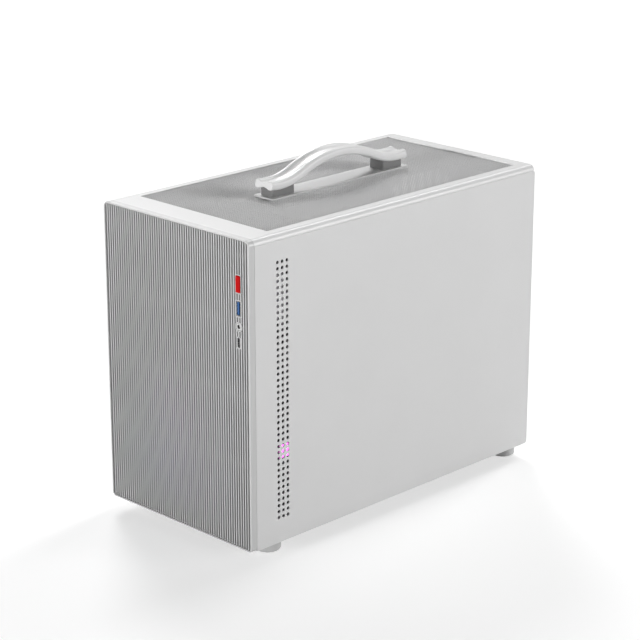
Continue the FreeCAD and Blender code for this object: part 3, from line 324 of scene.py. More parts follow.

# %% [markdown]
# Every material slot of the record now gets its finish, and every solid that stays in view takes the finish
# of its slot. Greys are written as the paint itself would measure, not as it looks in the light, except the
# near-black of the inner frames: a black coat that also paints the shade seen through the vents and rib gaps.
# The number after the colour is the roughness.

# %% Finishes by slot
FINISHES = {
    "white_shell": powder_coat("white_powder_coat", grey(0.80), 0.30),
    "white_mesh": powder_coat("mesh_powder_coat", grey(0.80), 0.60, gloss=0.1),
    "white_front": moulded("satin_white_plastic", grey(0.66), 0.30),
    "white_frame": powder_coat("inner_powder_coat", grey(0.76), 0.55),
    # Inner frames: a black coat that also paints the shade seen through the vents and between the ribs.
    "dark_frame": powder_coat("black_coat_and_painted_shade", grey(0.03), 0.55),
    "white_grip": moulded("grip_plastic", grey(0.76), 0.36),
    "grey_post": moulded("post_plastic", grey(0.17), 0.48, grain_depth=0.012),
    "pale_strip": moulded("strip_plastic", grey(0.58), 0.50),
    "foot_plastic": moulded("foot_rubber", grey(0.56), 0.52, grain_depth=0.014),
    "clip_plastic": moulded("clip_plastic", grey(0.62), 0.42),
    "zinc": zinc_plate("zinc_plate", grey(0.62)),
    "standoff_brass": turned_brass("turned_brass", (0.72, 0.51, 0.22, 1)),
    "black_plastic": moulded("black_plastic", grey(0.018), 0.42, grain_depth=0.012),
    "inlet_blades": nickel("blade_nickel", grey(0.66)),
    "ring_light": lit_ring("lit_ring", strength=4.0),
    "carrier_plastic": moulded("carrier_plastic", grey(0.70), 0.45),
    "board_green": solder_mask("green_solder_mask", (0.012, 0.10, 0.035, 1)),
    "red_button": moulded("red_key_plastic", (0.52, 0.002, 0.003, 1), 0.45, grain_depth=0.004, gloss=0.1),
    "socket_steel": nickel("socket_nickel", grey(0.60)),
    "blue_tongue": moulded("blue_tongue_plastic", (0.035, 0.13, 0.36, 1), 0.40, grain_depth=0.004),
    "dark_tongue": moulded("dark_tongue_plastic", grey(0.05), 0.40, grain_depth=0.004),
}

for part in frame["record"]["subparts"]:
    for holder in frame["nodes"][part["node"]].material_slots:
        holder.material = FINISHES[part["material_slot"]]
print(len(FINISHES), "finishes")

# %% [markdown]
# Almost every shape here is one of four things: a row of loops joined by quads, an outline pushed straight,
# a profile turned about an axis, or one solid taken out of another. Outlines come first. They are lists of
# points in a plane, and three small functions stand them up in space.

# %% Outlines
CORNER_STEPS = 8


def arc(middle, radius, start, end, steps):
    """Points of an arc in a plane, angles in degrees."""
    turns = (math.radians(start + (end - start) * i / steps) for i in range(steps + 1))
    return [(middle[0] + radius * math.cos(a), middle[1] + radius * math.sin(a)) for a in turns]


def rounded_outline(u0, u1, v0, v1, low_r, high_r=None):
    """Rectangle with rounded corners: low_r along v0 and high_r along v1."""
    high_r = low_r if high_r is None else high_r
    points = arc((u1 - low_r, v0 + low_r), low_r, -90, 0, CORNER_STEPS)
    points += arc((u1 - high_r, v1 - high_r), high_r, 0, 90, CORNER_STEPS)
    points += arc((u0 + high_r, v1 - high_r), high_r, 90, 180, CORNER_STEPS)
    points += arc((u0 + low_r, v0 + low_r), low_r, 180, 270, CORNER_STEPS)
    return points


def on_x(points, x):
    return [Vector((x, u, v)) for u, v in points]


def on_y(points, y):
    return [Vector((u, y, v)) for u, v in points]


def on_z(points, z):
    return [Vector((u, v, z)) for u, v in points]


print("a rounded rectangle has", len(rounded_outline(0, 2, 0, 1, 0.2)), "points")

# %% [markdown]
# A loft joins loops as a sheet of quads. Turning a profile is a loft of circles, and a block is a loft of
# two rectangles. Edges are rounded with real geometry, because a sharp edge has no highlight and so looks
# like paper.

# %% Lofts, turned shapes and blocks
SHARP_DEG = 40
ON_AXIS = 0.01


def aim(axis):
    """Rotation that brings +Z onto an axis."""
    return Vector((0, 0, 1)).rotation_difference(Vector(axis)).to_matrix()


def loft(bm, loops, ring=False):
    """Join loops of equally many points by quads; the ends are closed unless the row goes round."""
    rows = [[bm.verts.new(point) for point in loop] for loop in loops]
    pairs = list(zip(rows, rows[1:]))
    if ring:
        pairs.append((rows[-1], rows[0]))
    else:
        bm.faces.new(rows[0])
        bm.faces.new(rows[-1])
    for first, second in pairs:
        for i, vert in enumerate(first):
            j = (i + 1) % len(first)
            bm.faces.new((vert, first[j], second[j], second[i]))


def lathe(bm, profile, at, axis, steps, ring=False):
    """Turn a profile of (radius, along) points about an axis through a place."""
    turn = aim(axis)
    loops = []
    for radius, along in profile:
        circle = arc((0, 0), radius, 0, 360, steps)[:-1]
        loops.append([Vector(at) + turn @ Vector((u, v, along)) for u, v in circle])
    loft(bm, loops, ring)


def block(bm, low, high):
    loft(bm, [on_z([(low[0], low[1]), (high[0], low[1]), (high[0], high[1]), (low[0], high[1])], z)
              for z in (low[2], high[2])])


def soften(bm, width):
    """Round off every sharp edge."""
    bmesh.ops.recalc_face_normals(bm, faces=bm.faces)
    sharp = [e for e in bm.edges if e.is_manifold and e.calc_face_angle() > math.radians(SHARP_DEG)]
    bmesh.ops.bevel(bm, geom=sharp, offset=width, segments=2, profile=0.5, affect="EDGES", clamp_overlap=True)


print("edges sharper than", SHARP_DEG, "degrees are rounded")

# %% [markdown]
# Holes are cut as a press would cut them: a tool of the hole's shape is taken out of the sheet. Both are
# plain meshes for that moment, and a Boolean modifier on one of them gives the rest.

# %% Carving
def carve(bm, cutter):
    """One mesh with another taken out of it."""
    objects = []
    for source in (bm, cutter):
        bmesh.ops.recalc_face_normals(source, faces=source.faces)
        mesh = bpy.data.meshes.new("carving")
        source.to_mesh(mesh)
        source.free()
        objects.append(link(bpy.data.objects.new("carving", mesh)))
    modifier = objects[0].modifiers.new("carve", "BOOLEAN")
    modifier.object = objects[1]
    modifier.solver = "EXACT"
    carved = objects[0].evaluated_get(bpy.context.evaluated_depsgraph_get())
    rest = bmesh.new()
    rest.from_mesh(carved.data)
    for obj in objects:
        bpy.data.meshes.remove(obj.data)
    return rest


print("carving ready")

# %% [markdown]
# A finished shape becomes a piece of the case here. It goes from millimetres to metres, gets its finish,
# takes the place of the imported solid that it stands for, and rides on that solid's body.

# %% Pieces
SMOOTH_DEG = 38
PIECE_WELD_MM, SOLID_WELD_M = 1e-4, 1e-6


def add_piece(name, bm, body, slot, stands_for=(), finish=None):
    """Make the piece, in millimetres until now, ride on its body with its finish."""
    bmesh.ops.remove_doubles(bm, verts=bm.verts, dist=PIECE_WELD_MM)
    bmesh.ops.recalc_face_normals(bm, faces=bm.faces)
    bm.transform(Matrix.Scale(MM, 4))
    mesh = bpy.data.meshes.new(name)
    bm.to_mesh(mesh)
    bm.free()
    mesh.shade_smooth()
    mesh.set_sharp_from_angle(angle=math.radians(SMOOTH_DEG))
    mesh.materials.append(finish or FINISHES[slot])
    piece = link(bpy.data.objects.new(name, mesh))
    even = piece.modifiers.new("even_normals", "WEIGHTED_NORMAL")
    even.keep_sharp = True
    if stands_for:
        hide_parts(*stands_for)
    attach(piece, body)
    mesh.calc_loop_triangles()
    print(name, len(mesh.loop_triangles), "triangles")


print("edges up to", SMOOTH_DEG, "degrees are shaded smooth")

# %% [markdown]
# The front is one moulding: a thin rim with rounded corners, and upright ribs set back inside it. The rim
# is a loft of the same rounded outline, drawn in and pushed back step by step. Its front edge is round, and
# that is what draws the bright line round the front. Its rear edge reaches a third of a millimetre further
# than that of the solid, so that the seam behind it is a faint line.

# %% Front rim
FRONT_LOW, FRONT_HIGH = span("front_panel")
Y_FRONT, Y_FRONT_BACK = FRONT_LOW.y, FRONT_HIGH.y
X_SIDE, Z_BASE, Z_TOP = FRONT_HIGH.x, FRONT_LOW.z, FRONT_HIGH.z
TOP_R, LOW_R = 5.5, 4.0
RIM, RIM_R, RIM_INNER_R = 1.5, 0.7, 0.3
RIB_RECESS, RIB_DEPTH = 1.5, 2.6
SEAM_LAP = 0.35
Y_RIB = Y_FRONT + RIB_RECESS
Y_RIB_BACK = Y_RIB + RIB_DEPTH


def front_outline(inset):
    return rounded_outline(-X_SIDE + inset, X_SIDE - inset, Z_BASE + inset, Z_TOP - inset,
                           LOW_R - inset, TOP_R - inset)


def front_rim(bm):
    steps = [(0.0, Y_FRONT_BACK + SEAM_LAP)]
    steps += arc((RIM_R, Y_FRONT + RIM_R), RIM_R, 180, 270, steps=5)
    steps += arc((RIM - RIM_INNER_R, Y_FRONT + RIM_INNER_R), RIM_INNER_R, 270, 360, steps=3)
    steps.append((RIM, Y_FRONT_BACK + SEAM_LAP))
    loft(bm, [on_y(front_outline(inset), y) for inset, y in steps], ring=True)


front = bmesh.new()
front_rim(front)
print("rim", len(front.faces), "faces")

# %% [markdown]
# Four openings sit in one column near the right edge: the power key, a wide socket, a round one and a small
# rounded one. Each has a collar level with the ribs. A collar is a loft of one outline, grown step by
# step, and the ribs are interrupted where it stands.

# %% Openings in the front
CLEARANCE, COLLAR, COLLAR_EDGE = 0.3, 0.9, 0.2
KEY_CORNER, KEY_FLANGE = 0.5, 1.1
SLIVER = 1e-3


def opening_of(node, corner):
    """Middle, half sizes and corner radius of the piece that fills an opening."""
    low, high = span(node)
    middle = (low + high) / 2
    half_w, half_h = (high.x - low.x) / 2, (high.z - low.z) / 2
    return middle.x, middle.z, half_w, half_h, min(corner, half_w)


key_x, key_z, key_w, key_h, _ = opening_of("power_button", KEY_CORNER)
OPENINGS = {
    "key": (key_x, key_z, key_w - KEY_FLANGE, key_h - KEY_FLANGE, KEY_CORNER),
    "wide": opening_of("usb_shell", KEY_CORNER),
    "round": opening_of("audio_jack", X_SIDE),
    "slim": opening_of("slim_shell", X_SIDE),
}


def opening_outline(name, grow):
    x, z, half_w, half_h, corner = OPENINGS[name]
    half_w, half_h = half_w + grow, half_h + grow
    return rounded_outline(x - half_w, x + half_w, z - half_h, z + half_h,
                           min(corner + grow, half_w) - SLIVER)


def collar(bm, name):
    inside, outside = CLEARANCE, CLEARANCE + COLLAR
    steps = [(inside, Y_FRONT_BACK), (inside, Y_RIB + COLLAR_EDGE), (inside + COLLAR_EDGE, Y_RIB),
             (outside - COLLAR_EDGE, Y_RIB), (outside, Y_RIB + COLLAR_EDGE), (outside, Y_FRONT_BACK)]
    loft(bm, [on_y(opening_outline(name, grow), y) for grow, y in steps], ring=True)


for opening in OPENINGS:
    collar(front, opening)
print(len(OPENINGS), "collars")

# %% [markdown]
# The ribs are 62 upright bars. Each is a small outline with two rounded front corners, pushed from the
# lower rim to the upper one. In the rounded corners of the rim the bars are shorter, so their ends follow
# the rim's arc. The gaps are 0.3 mm wider than those of the solid, because only then they look as dark as
# in the picture.

# %% Ribs
RIB_COUNT = 62
RIB_GAP = 1.75
RIB_EDGE = 0.28
RIB_SEAT = 0.3
BAR_COUNT, BAR_H, BAR_INSET = 5, 2.5, 15.5


def corner_drop(x, radius):
    """How far the inside of the rim has turned in at x."""
    radius -= RIM
    past = abs(x) - (X_SIDE - RIM - radius)
    return radius - math.sqrt(max(radius ** 2 - past ** 2, 0)) if past > 0 else 0.0


def rib_runs(x, half):
    """Stretches of a rib between the rims and the collars."""
    cuts = []
    for ox, oz, half_w, half_h, corner in OPENINGS.values():
        reach_w, reach_h = half_w + CLEARANCE + COLLAR, half_h + CLEARANCE + COLLAR
        bend = min(corner + CLEARANCE + COLLAR, reach_w)
        near = abs(x - ox) - half
        if near < reach_w - RIB_SEAT:
            past = max(near - (reach_w - bend), 0)
            fall = bend - math.sqrt(max(bend ** 2 - past ** 2, 0))
            cuts.append((oz - reach_h + fall + RIB_SEAT, oz + reach_h - fall - RIB_SEAT))
    low = Z_BASE + RIM + corner_drop(x, LOW_R) - RIB_SEAT
    high = Z_TOP - RIM - corner_drop(x, TOP_R) + RIB_SEAT
    runs = []
    for cut_low, cut_high in sorted(cuts):
        runs.append((low, cut_low))
        low = cut_high
    return runs + [(low, high)]


def ribs(bm):
    field = X_SIDE - RIM
    pitch = 2 * field / RIB_COUNT
    half = (pitch - RIB_GAP) / 2
    for i in range(RIB_COUNT):
        x = -field + (i + 0.5) * pitch
        outline = [(x + half, Y_RIB_BACK), (x - half, Y_RIB_BACK)]
        outline += arc((x - half + RIB_EDGE, Y_RIB + RIB_EDGE), RIB_EDGE, 180, 270, steps=3)
        outline += arc((x + half - RIB_EDGE, Y_RIB + RIB_EDGE), RIB_EDGE, 270, 360, steps=3)
        for low, high in rib_runs(x, half):
            loft(bm, [on_z(outline, low), on_z(outline, high)])


def cross_bars(bm):
    low, high = Z_BASE + BAR_INSET, Z_TOP - BAR_INSET
    for i in range(BAR_COUNT):
        z = low + (high - low) * i / (BAR_COUNT - 1)
        block(bm, (-X_SIDE + RIM / 2, Y_RIB_BACK, z - BAR_H / 2),
              (X_SIDE - RIM / 2, Y_FRONT_BACK, z + BAR_H / 2))


ribs(front)
cross_bars(front)
add_piece("ribbed_front", front, "front", "white_front", ["front_panel"])

# %% [markdown]
# The top is a sheet folded down over both long edges and over the rear, with a window for the mesh. One
# cross section, repeated along the case, gives the skin. At the rear the section is drawn in along a
# quarter circle, which rolls the edge over. The skin is then given its thickness, and its cut edges are
# rounded.

# %% Top cover
COVER_LOW, COVER_HIGH = span("top_cover")
REAR_R = 3.0
SHEET = 1.0
SHEET_EDGE = 0.18
MESH_SIDE, MESH_FRONT, MESH_REAR = 12.0, 32.5, 15.5
X_MESH = X_SIDE - MESH_SIDE
Y_MESH_FRONT, Y_MESH_REAR = Y_FRONT + MESH_FRONT, COVER_HIGH.y - MESH_REAR


def cover_section(inset):
    radius = TOP_R - inset
    right = [(X_SIDE - inset, Z_TOP - TOP_R - SEAM_LAP)]
    right += arc((X_SIDE - TOP_R, Z_TOP - TOP_R), radius, 0, 90, steps=10)
    right.append((X_MESH, Z_TOP - inset))
    return right + [(-x, z) for x, z in reversed(right)]


def top_cover():
    bm = bmesh.new()
    steps = [(0.0, y) for y in (COVER_LOW.y, Y_MESH_FRONT, Y_MESH_REAR)]
    steps += arc((REAR_R, COVER_HIGH.y - REAR_R), REAR_R, 180, 90, steps=6)
    rows = [[bm.verts.new(p) for p in on_y(cover_section(inset), y)] for inset, y in steps]
    middle = len(rows[0]) // 2 - 1
    for number, (first, second) in enumerate(zip(rows, rows[1:])):
        for i in range(len(first) - 1):
            if number == 1 and i == middle:
                continue
            bm.faces.new((first[i], first[i + 1], second[i + 1], second[i]))
    bm.faces.new(rows[-1])
    bmesh.ops.recalc_face_normals(bm, faces=bm.faces)
    bmesh.ops.solidify(bm, geom=bm.faces[:], thickness=SHEET)
    soften(bm, SHEET_EDGE)
    return bm


add_piece("folded_top", top_cover(), "chassis", "white_shell", ["top_cover"])

# %% [markdown]
# The mesh is fine: holes a millimetre and a half wide, far too many to cut one by one. Two layers of
# straight flat wires, one along the case and one across it, give the same square holes from about two
# hundred boxes, and light falls through them as it does through the real one.

# %% Top mesh
MESH_LOW, MESH_HIGH = span("top_mesh")
WIRE_PITCH = 2.2
WIRE_W = 0.7
WIRE_T = (MESH_HIGH.z - MESH_LOW.z) / 2
MESH_BORDER = 2.0


def wires(bm, along, first, last, ends, z0):
    count = round((last - first) / WIRE_PITCH)
    for i in range(count):
        middle = first + (i + 0.5) * (last - first) / count
        low, high = [0, 0, z0], [0, 0, z0 + WIRE_T]
        low[1 - along], high[1 - along] = middle - WIRE_W / 2, middle + WIRE_W / 2
        low[along], high[along] = ends
        block(bm, low, high)


def top_mesh():
    bm = bmesh.new()
    (x0, y0, z0), (x1, y1, z1) = MESH_LOW, MESH_HIGH
    edge = MESH_BORDER
    wires(bm, 1, x0 + edge, x1 - edge, (y0 + SHEET, y1 - SHEET), z0 + WIRE_T)
    wires(bm, 0, y0 + edge, y1 - edge, (x0 + SHEET, x1 - SHEET), z0)
    for left, front_y, right, rear_y in ((x0, y0, x1, y0 + edge), (x0, y1 - edge, x1, y1),
                                         (x0, y0 + edge, x0 + edge, y1 - edge),
                                         (x1 - edge, y0 + edge, x1, y1 - edge)):
        block(bm, (left, front_y, z0), (right, rear_y, z1))
    return bm


add_piece("fine_mesh", top_mesh(), "chassis", "white_mesh", ["top_mesh"])

# %% [markdown]
# A side panel is a flat sheet whose border is folded back on itself, so its edge is twice as thick and
# softly rounded. One row of outlines makes it, from the recess inside the border to the outer face. The
# right panel also has a strip of round vents. A punch rolls the edge of each hole in a little, so the tool
# that is taken out of the sheet flares at its outer end.

# %% Side panels
PANEL_LOW, PANEL_HIGH = span("right_panel")
HEM_W = 6.0
EDGE_R = 0.6
FRONT_CORNER_R = 0.8
VENT_ROWS, VENT_COLUMNS, VENT_PITCH = 43, 3, 5.5
VENT_R, VENT_FLARE, FLARE_BEND = 1.55, 0.22, 0.3
LEAST_R = 0.05
VENT_INSET, VENT_RISE = 26.5, 2.5


def panel_outline(inset):
    y0, y1 = PANEL_LOW.y + inset, PANEL_HIGH.y - inset
    z0, z1 = PANEL_LOW.z + inset, PANEL_HIGH.z - inset
    front_r, rear_r = max(FRONT_CORNER_R - inset, LEAST_R), max(REAR_R - inset, LEAST_R)
    turned = rounded_outline(z0, z1, y0, y1, front_r, rear_r)
    return [(y, z) for z, y in turned]


def side_panel(sign):
    bm = bmesh.new()
    inner, outer = PANEL_LOW.x, PANEL_HIGH.x
    steps = [(HEM_W, inner + SHEET), (HEM_W, inner), (0.0, inner)]
    steps += arc((EDGE_R, outer - EDGE_R), EDGE_R, 180, 90, steps=4)
    loft(bm, [on_x(panel_outline(inset), sign * x) for inset, x in steps])
    return bm


def vent_cutters():
    bm = bmesh.new()
    middle = (PANEL_LOW.z + PANEL_HIGH.z) / 2 + VENT_RISE
    bend = FLARE_BEND * VENT_FLARE
    profile = [(VENT_R, -2 * SHEET), (VENT_R, -VENT_FLARE), (VENT_R + bend, -bend),
               (VENT_R + VENT_FLARE, 0.0), (VENT_R + VENT_FLARE, SHEET)]
    for column in range(VENT_COLUMNS):
        for row in range(VENT_ROWS):
            at = (PANEL_HIGH.x, PANEL_LOW.y + VENT_INSET + column * VENT_PITCH,
                  middle + (row - (VENT_ROWS - 1) / 2) * VENT_PITCH)
            lathe(bm, profile, at, (1, 0, 0), steps=20)
    return bm


add_piece("vented_side", carve(side_panel(1), vent_cutters()), "right_side", "white_shell", ["right_panel"])
add_piece("plain_side", side_panel(-1), "left_side", "white_shell", ["left_panel"])

# %% [markdown]
# The handle is a shallow bow: an arch in the middle that runs into a dip at each end. Its section has two
# ridges on top with a groove between them, flat sides, a round belly and a hollow below. Sweeping that
# section along three arcs that share their tangents gives a grip with no kink.

# %% Handle path and section
HANDLE_LOW, HANDLE_HIGH = span("handle")
HANDLE_W = HANDLE_HIGH.x - HANDLE_LOW.x
Y_HANDLE = (HANDLE_LOW.y + HANDLE_HIGH.y) / 2
HANDLE_T = 8.0
ARCH_RISE, ARCH_R = 17.0, 112.0
DIP_AT, GRIP_HALF = 76.0, 86.5
DIP_R = (ARCH_RISE ** 2 + DIP_AT ** 2) / (2 * ARCH_RISE) - ARCH_R
BEND = math.degrees(math.asin(DIP_AT / (ARCH_R + DIP_R)))
TIP = math.degrees(math.asin((GRIP_HALF - DIP_AT) / DIP_R))
Z_CREST = HANDLE_HIGH.z
RIDGE_SET, RIDGE_DROP = 2.5, 2.5
GROOVE_HALF, GROOVE_LIP, GROOVE_DEPTH = 5.0, 0.9, 2.0
BELLY_R, CHANNEL_HALF, CHANNEL_DEPTH = 2.5, 6.0, 1.6
HOLLOW_BOW = 0.75
DIP_STEPS, ARCH_STEPS = 14, 28


def through(first, middle, last, steps):
    """Points of the arc through three places."""
    (ax, ay), (bx, by), (cx, cy) = first, middle, last
    d = 2 * (ax * (by - cy) + bx * (cy - ay) + cx * (ay - by))
    a2, b2, c2 = ax * ax + ay * ay, bx * bx + by * by, cx * cx + cy * cy
    centre = ((a2 * (by - cy) + b2 * (cy - ay) + c2 * (ay - by)) / d,
              (a2 * (cx - bx) + b2 * (ax - cx) + c2 * (bx - ax)) / d)
    radius = math.dist(centre, first)
    start, via, end = (math.degrees(math.atan2(y - centre[1], x - centre[0]))
                       for x, y in (first, middle, last))
    sweep = (end - start + 180) % 360 - 180
    if (via - start) * sweep < 0 and abs(via - start) < 180:
        sweep -= math.copysign(360, sweep)
    return arc(centre, radius, start, start + sweep, steps)


def grip_section():
    side = HANDLE_W / 2
    crest, belly = side - RIDGE_SET, side - BELLY_R
    groove_mid = (GROOVE_HALF / 2, -HOLLOW_BOW * GROOVE_DEPTH - (1 - HOLLOW_BOW) * GROOVE_LIP)
    channel_mid = (CHANNEL_HALF / 2, -HANDLE_T + HOLLOW_BOW * CHANNEL_DEPTH)
    right = through((0, -GROOVE_DEPTH), groove_mid, (GROOVE_HALF, -GROOVE_LIP), steps=5)
    right += through((GROOVE_HALF, -GROOVE_LIP), (crest, 0), (side, -RIDGE_DROP), steps=8)[1:]
    right += arc((belly, -HANDLE_T + BELLY_R), BELLY_R, 0, -90, steps=6)
    right += through((CHANNEL_HALF, -HANDLE_T), channel_mid, (0, -HANDLE_T + CHANNEL_DEPTH), steps=6)
    return right + [(-x, z) for x, z in reversed(right[1:-1])]


def grip_stations():
    """Crest points along the handle, with the slope of the path at each."""
    arch_z = Z_CREST - ARCH_R
    dip_z = Z_CREST - ARCH_RISE + DIP_R
    dip, arch = [], []
    for i in range(DIP_STEPS):
        slope = -TIP + (TIP + BEND) * i / DIP_STEPS
        a = math.radians(slope)
        dip.append((-DIP_AT + DIP_R * math.sin(a), dip_z - DIP_R * math.cos(a), slope))
    for i in range(ARCH_STEPS + 1):
        slope = BEND - 2 * BEND * i / ARCH_STEPS
        a = math.radians(slope)
        arch.append((-ARCH_R * math.sin(a), arch_z + ARCH_R * math.cos(a), slope))
    return dip + arch + [(-along, z, -slope) for along, z, slope in reversed(dip)]


print("handle", round(2 * GRIP_HALF), "mm long, dip radius", round(DIP_R, 1))

# %% [markdown]
# Each station of the path places the section upright to the path. The two end caps then get a rounded edge.

# %% Handle
GRIP_END_R = 0.9


def grip():
    bm = bmesh.new()
    section = grip_section()
    loops = []
    for along, z, slope in grip_stations():
        lean = math.radians(slope)
        loops.append([Vector((x, Y_HANDLE + along - h * math.sin(lean), z + h * math.cos(lean)))
                      for x, h in section])
    loft(bm, loops)
    caps = [f for f in bm.faces if len(f.verts) > 4]
    edges = {e for f in caps for e in f.edges}
    bmesh.ops.recalc_face_normals(bm, faces=bm.faces)
    bmesh.ops.bevel(bm, geom=list(edges), offset=GRIP_END_R, segments=4, profile=0.5, affect="EDGES",
                    clamp_overlap=True)
    return bm


add_piece("arched_grip", grip(), "chassis", "white_grip", ["handle"])

# %% [markdown]
# The strip below is a flat moulding with soft upper edges, so one loft of a rounded outline is enough. The
# posts between it and the grip keep their solids.

# %% Strip under the handle
STRIP_CORNER, STRIP_EDGE = 1.0, 0.4


def handle_strip():
    bm = bmesh.new()
    low, high = span("handle_strip")
    steps = [(0.0, low.z), (0.0, high.z - STRIP_EDGE)]
    steps += arc((STRIP_EDGE, high.z - STRIP_EDGE), STRIP_EDGE, 180, 90, steps=3)[1:]
    loft(bm, [on_z(rounded_outline(low.x + i, high.x - i, low.y + i, high.y - i, STRIP_CORNER - i), z)
              for i, z in steps])
    return bm


add_piece("grip_strip", handle_strip(), "chassis", "pale_strip", ["handle_strip"])

# %% [markdown]
# The feet are discs with a rounded lower edge and a well for the screw, which a turned profile gives.

# %% Feet
FEET_LOW, FEET_HIGH = span("feet")
FOOT_R, FOOT_EDGE_R, FOOT_WELL_R, FOOT_WELL, FOOT_HOLE_R = 12.0, 3.0, 4.4, 6.5, 2.1
FOOT_LIP = 0.4


def feet():
    bm = bmesh.new()
    top = FEET_HIGH.z
    profile = [(FOOT_HOLE_R, top), (FOOT_HOLE_R, FOOT_WELL), (FOOT_WELL_R, FOOT_WELL),
               (FOOT_WELL_R, FOOT_LIP), (FOOT_WELL_R + FOOT_LIP, 0.0)]
    profile += arc((FOOT_R - FOOT_EDGE_R, FOOT_EDGE_R), FOOT_EDGE_R, 270, 360, steps=8)
    profile += [(FOOT_R, top - FOOT_LIP), (FOOT_R - FOOT_LIP, top)]
    for x in (FEET_LOW.x + FOOT_R, FEET_HIGH.x - FOOT_R):
        for y in (FEET_LOW.y + FOOT_R, FEET_HIGH.y - FOOT_R):
            lathe(bm, profile, (x, y, 0), (0, 0, 1), steps=56, ring=True)
    return bm


add_piece("round_feet", feet(), "chassis", "foot_plastic", ["feet"])

# %% [markdown]
# The power key is a small moulded cap with a soft front edge, a flange that keeps it from falling out, and
# a stem that meets the switch. The cap is one loft of the opening's outline, with the edge turned along a
# quarter circle.

# %% Power key
KEY_LOW, KEY_HIGH = span("power_button")
KEY_EDGE_R = 0.4
KEY_BACK, KEY_FLANGE_T = 4.1, 1.2
KEY_STEM_R = 1.6


def power_key():
    bm = bmesh.new()
    back = Y_FRONT_BACK + KEY_BACK
    steps = [(0.0, back), (0.0, KEY_LOW.y + KEY_EDGE_R)]
    steps += arc((-KEY_EDGE_R, KEY_LOW.y + KEY_EDGE_R), KEY_EDGE_R, 0, -90, steps=5)[1:]
    loft(bm, [on_y(opening_outline("key", grow), y) for grow, y in steps])
    flange = [(KEY_FLANGE, back), (KEY_FLANGE, back - KEY_FLANGE_T)]
    loft(bm, [on_y(opening_outline("key", grow), y) for grow, y in flange])
    lathe(bm, [(KEY_STEM_R, 0.0), (KEY_STEM_R, KEY_HIGH.y - back)], (key_x, back, key_z), (0, 1, 0), steps=24)
    return bm


add_piece("power_key", power_key(), "button", "red_button", ["power_button"])

# %% [markdown]
# A socket's shell is folded from thin nickel-plated sheet, so its front edge is rolled in all round. It is
# a loft of its opening's outline. Inside stands a plastic tongue with flat gold-plated contacts: blocks.

# %% Wide and slim sockets
SOCKET_LIP = 0.15
CONTACT_T = 0.06
GOLD = nickel("contact_gold", (0.83, 0.58, 0.22, 1))


def socket_shell(node, opening, wall):
    bm = bmesh.new()
    low, high = span(node)
    steps = [(0.0, high.y), (0.0, low.y + SOCKET_LIP), (-SOCKET_LIP, low.y), (SOCKET_LIP - wall, low.y),
             (-wall, low.y + SOCKET_LIP), (-wall, high.y)]
    loft(bm, [on_y(opening_outline(opening, grow), y) for grow, y in steps], ring=True)
    return bm


def tongue(node, edge):
    bm = bmesh.new()
    block(bm, *span(node))
    soften(bm, edge)
    return bm


def contacts(node, count, width, length, inset):
    """Flat contacts on the right face of a tongue, side by side down its height."""
    bm = bmesh.new()
    low, high = span(node)
    step = (high.z - low.z) / count
    for i in range(count):
        z = low.z + (i + 0.5) * step
        block(bm, (high.x - CONTACT_T, low.y + inset, z - width / 2),
              (high.x + CONTACT_T, low.y + inset + length, z + width / 2))
    return bm


wide_row = contacts("usb_tongue", count=4, width=1.1, length=6.5, inset=1.2)
slim_row = contacts("slim_tongue", count=12, width=0.28, length=3.2, inset=0.8)
wide_shell = socket_shell("usb_shell", "wide", wall=0.45)
slim_shell = socket_shell("slim_shell", "slim", wall=0.35)
add_piece("wide_shell", wide_shell, "chassis", "socket_steel", ["usb_shell"])
add_piece("wide_tongue", tongue("usb_tongue", edge=0.3), "chassis", "blue_tongue", ["usb_tongue"])
add_piece("wide_contacts", wide_row, "chassis", "inlet_blades", finish=GOLD)
add_piece("slim_rim", slim_shell, "chassis", "socket_steel", ["slim_shell"])
add_piece("slim_core", tongue("slim_tongue", edge=0.15), "chassis", "dark_tongue", ["slim_tongue"])
add_piece("slim_contacts", slim_row, "chassis", "inlet_blades", finish=GOLD)

# %% [markdown]
# The round socket is a pale bushing, turned with a chamfer outside and a countersink at its mouth. A black
# insulator lines its bore.

# %% Round socket
JACK_LOW, JACK_HIGH = span("audio_jack")
JACK_MID, JACK_L = (JACK_LOW + JACK_HIGH) / 2, JACK_HIGH.y - JACK_LOW.y
JACK_AT = (JACK_MID.x, JACK_LOW.y, JACK_MID.z)
JACK_BORE_R, JACK_MOUTH, JACK_CHAMFER, JACK_FLOOR = 1.8, 0.4, 0.3, 1.0
LINING_AT, LINING_T, LINING_FIT = 0.5, 0.1, 0.01


def round_socket():
    bm = bmesh.new()
    radius = (JACK_HIGH.x - JACK_LOW.x) / 2
    profile = [(ON_AXIS, JACK_L), (radius, JACK_L), (radius, JACK_CHAMFER), (radius - JACK_CHAMFER, 0.0),
               (JACK_BORE_R + JACK_MOUTH, 0.0), (JACK_BORE_R, JACK_MOUTH), (JACK_BORE_R, JACK_L - JACK_FLOOR),
               (ON_AXIS, JACK_L - JACK_FLOOR)]
    lathe(bm, profile, JACK_AT, (0, 1, 0), steps=40)
    return bm


def bore_lining():
    """Dark insulator inside the bushing, as a thin cup."""
    bm = bmesh.new()
    length = JACK_L - JACK_FLOOR
    outer, inner = JACK_BORE_R - LINING_FIT, JACK_BORE_R - LINING_T
    profile = [(inner, LINING_AT), (outer, LINING_AT), (outer, length), (ON_AXIS, length),
               (ON_AXIS, length - LINING_T), (inner, length - LINING_T)]
    lathe(bm, profile, JACK_AT, (0, 1, 0), steps=40, ring=True)
    return bm


add_piece("round_socket", round_socket(), "chassis", "carrier_plastic", ["audio_jack"])
add_piece("bore_lining", bore_lining(), "chassis", "black_plastic")

# %% [markdown]
# The screws are all of one kind, in several sizes: a domed head with a cross-shaped recess, and a plain
# shank. Their places are read from the solids, one loose part at a time. A dome turned on the lathe and a
# tapered tool with the outline of a plus, taken out of it, make the head.

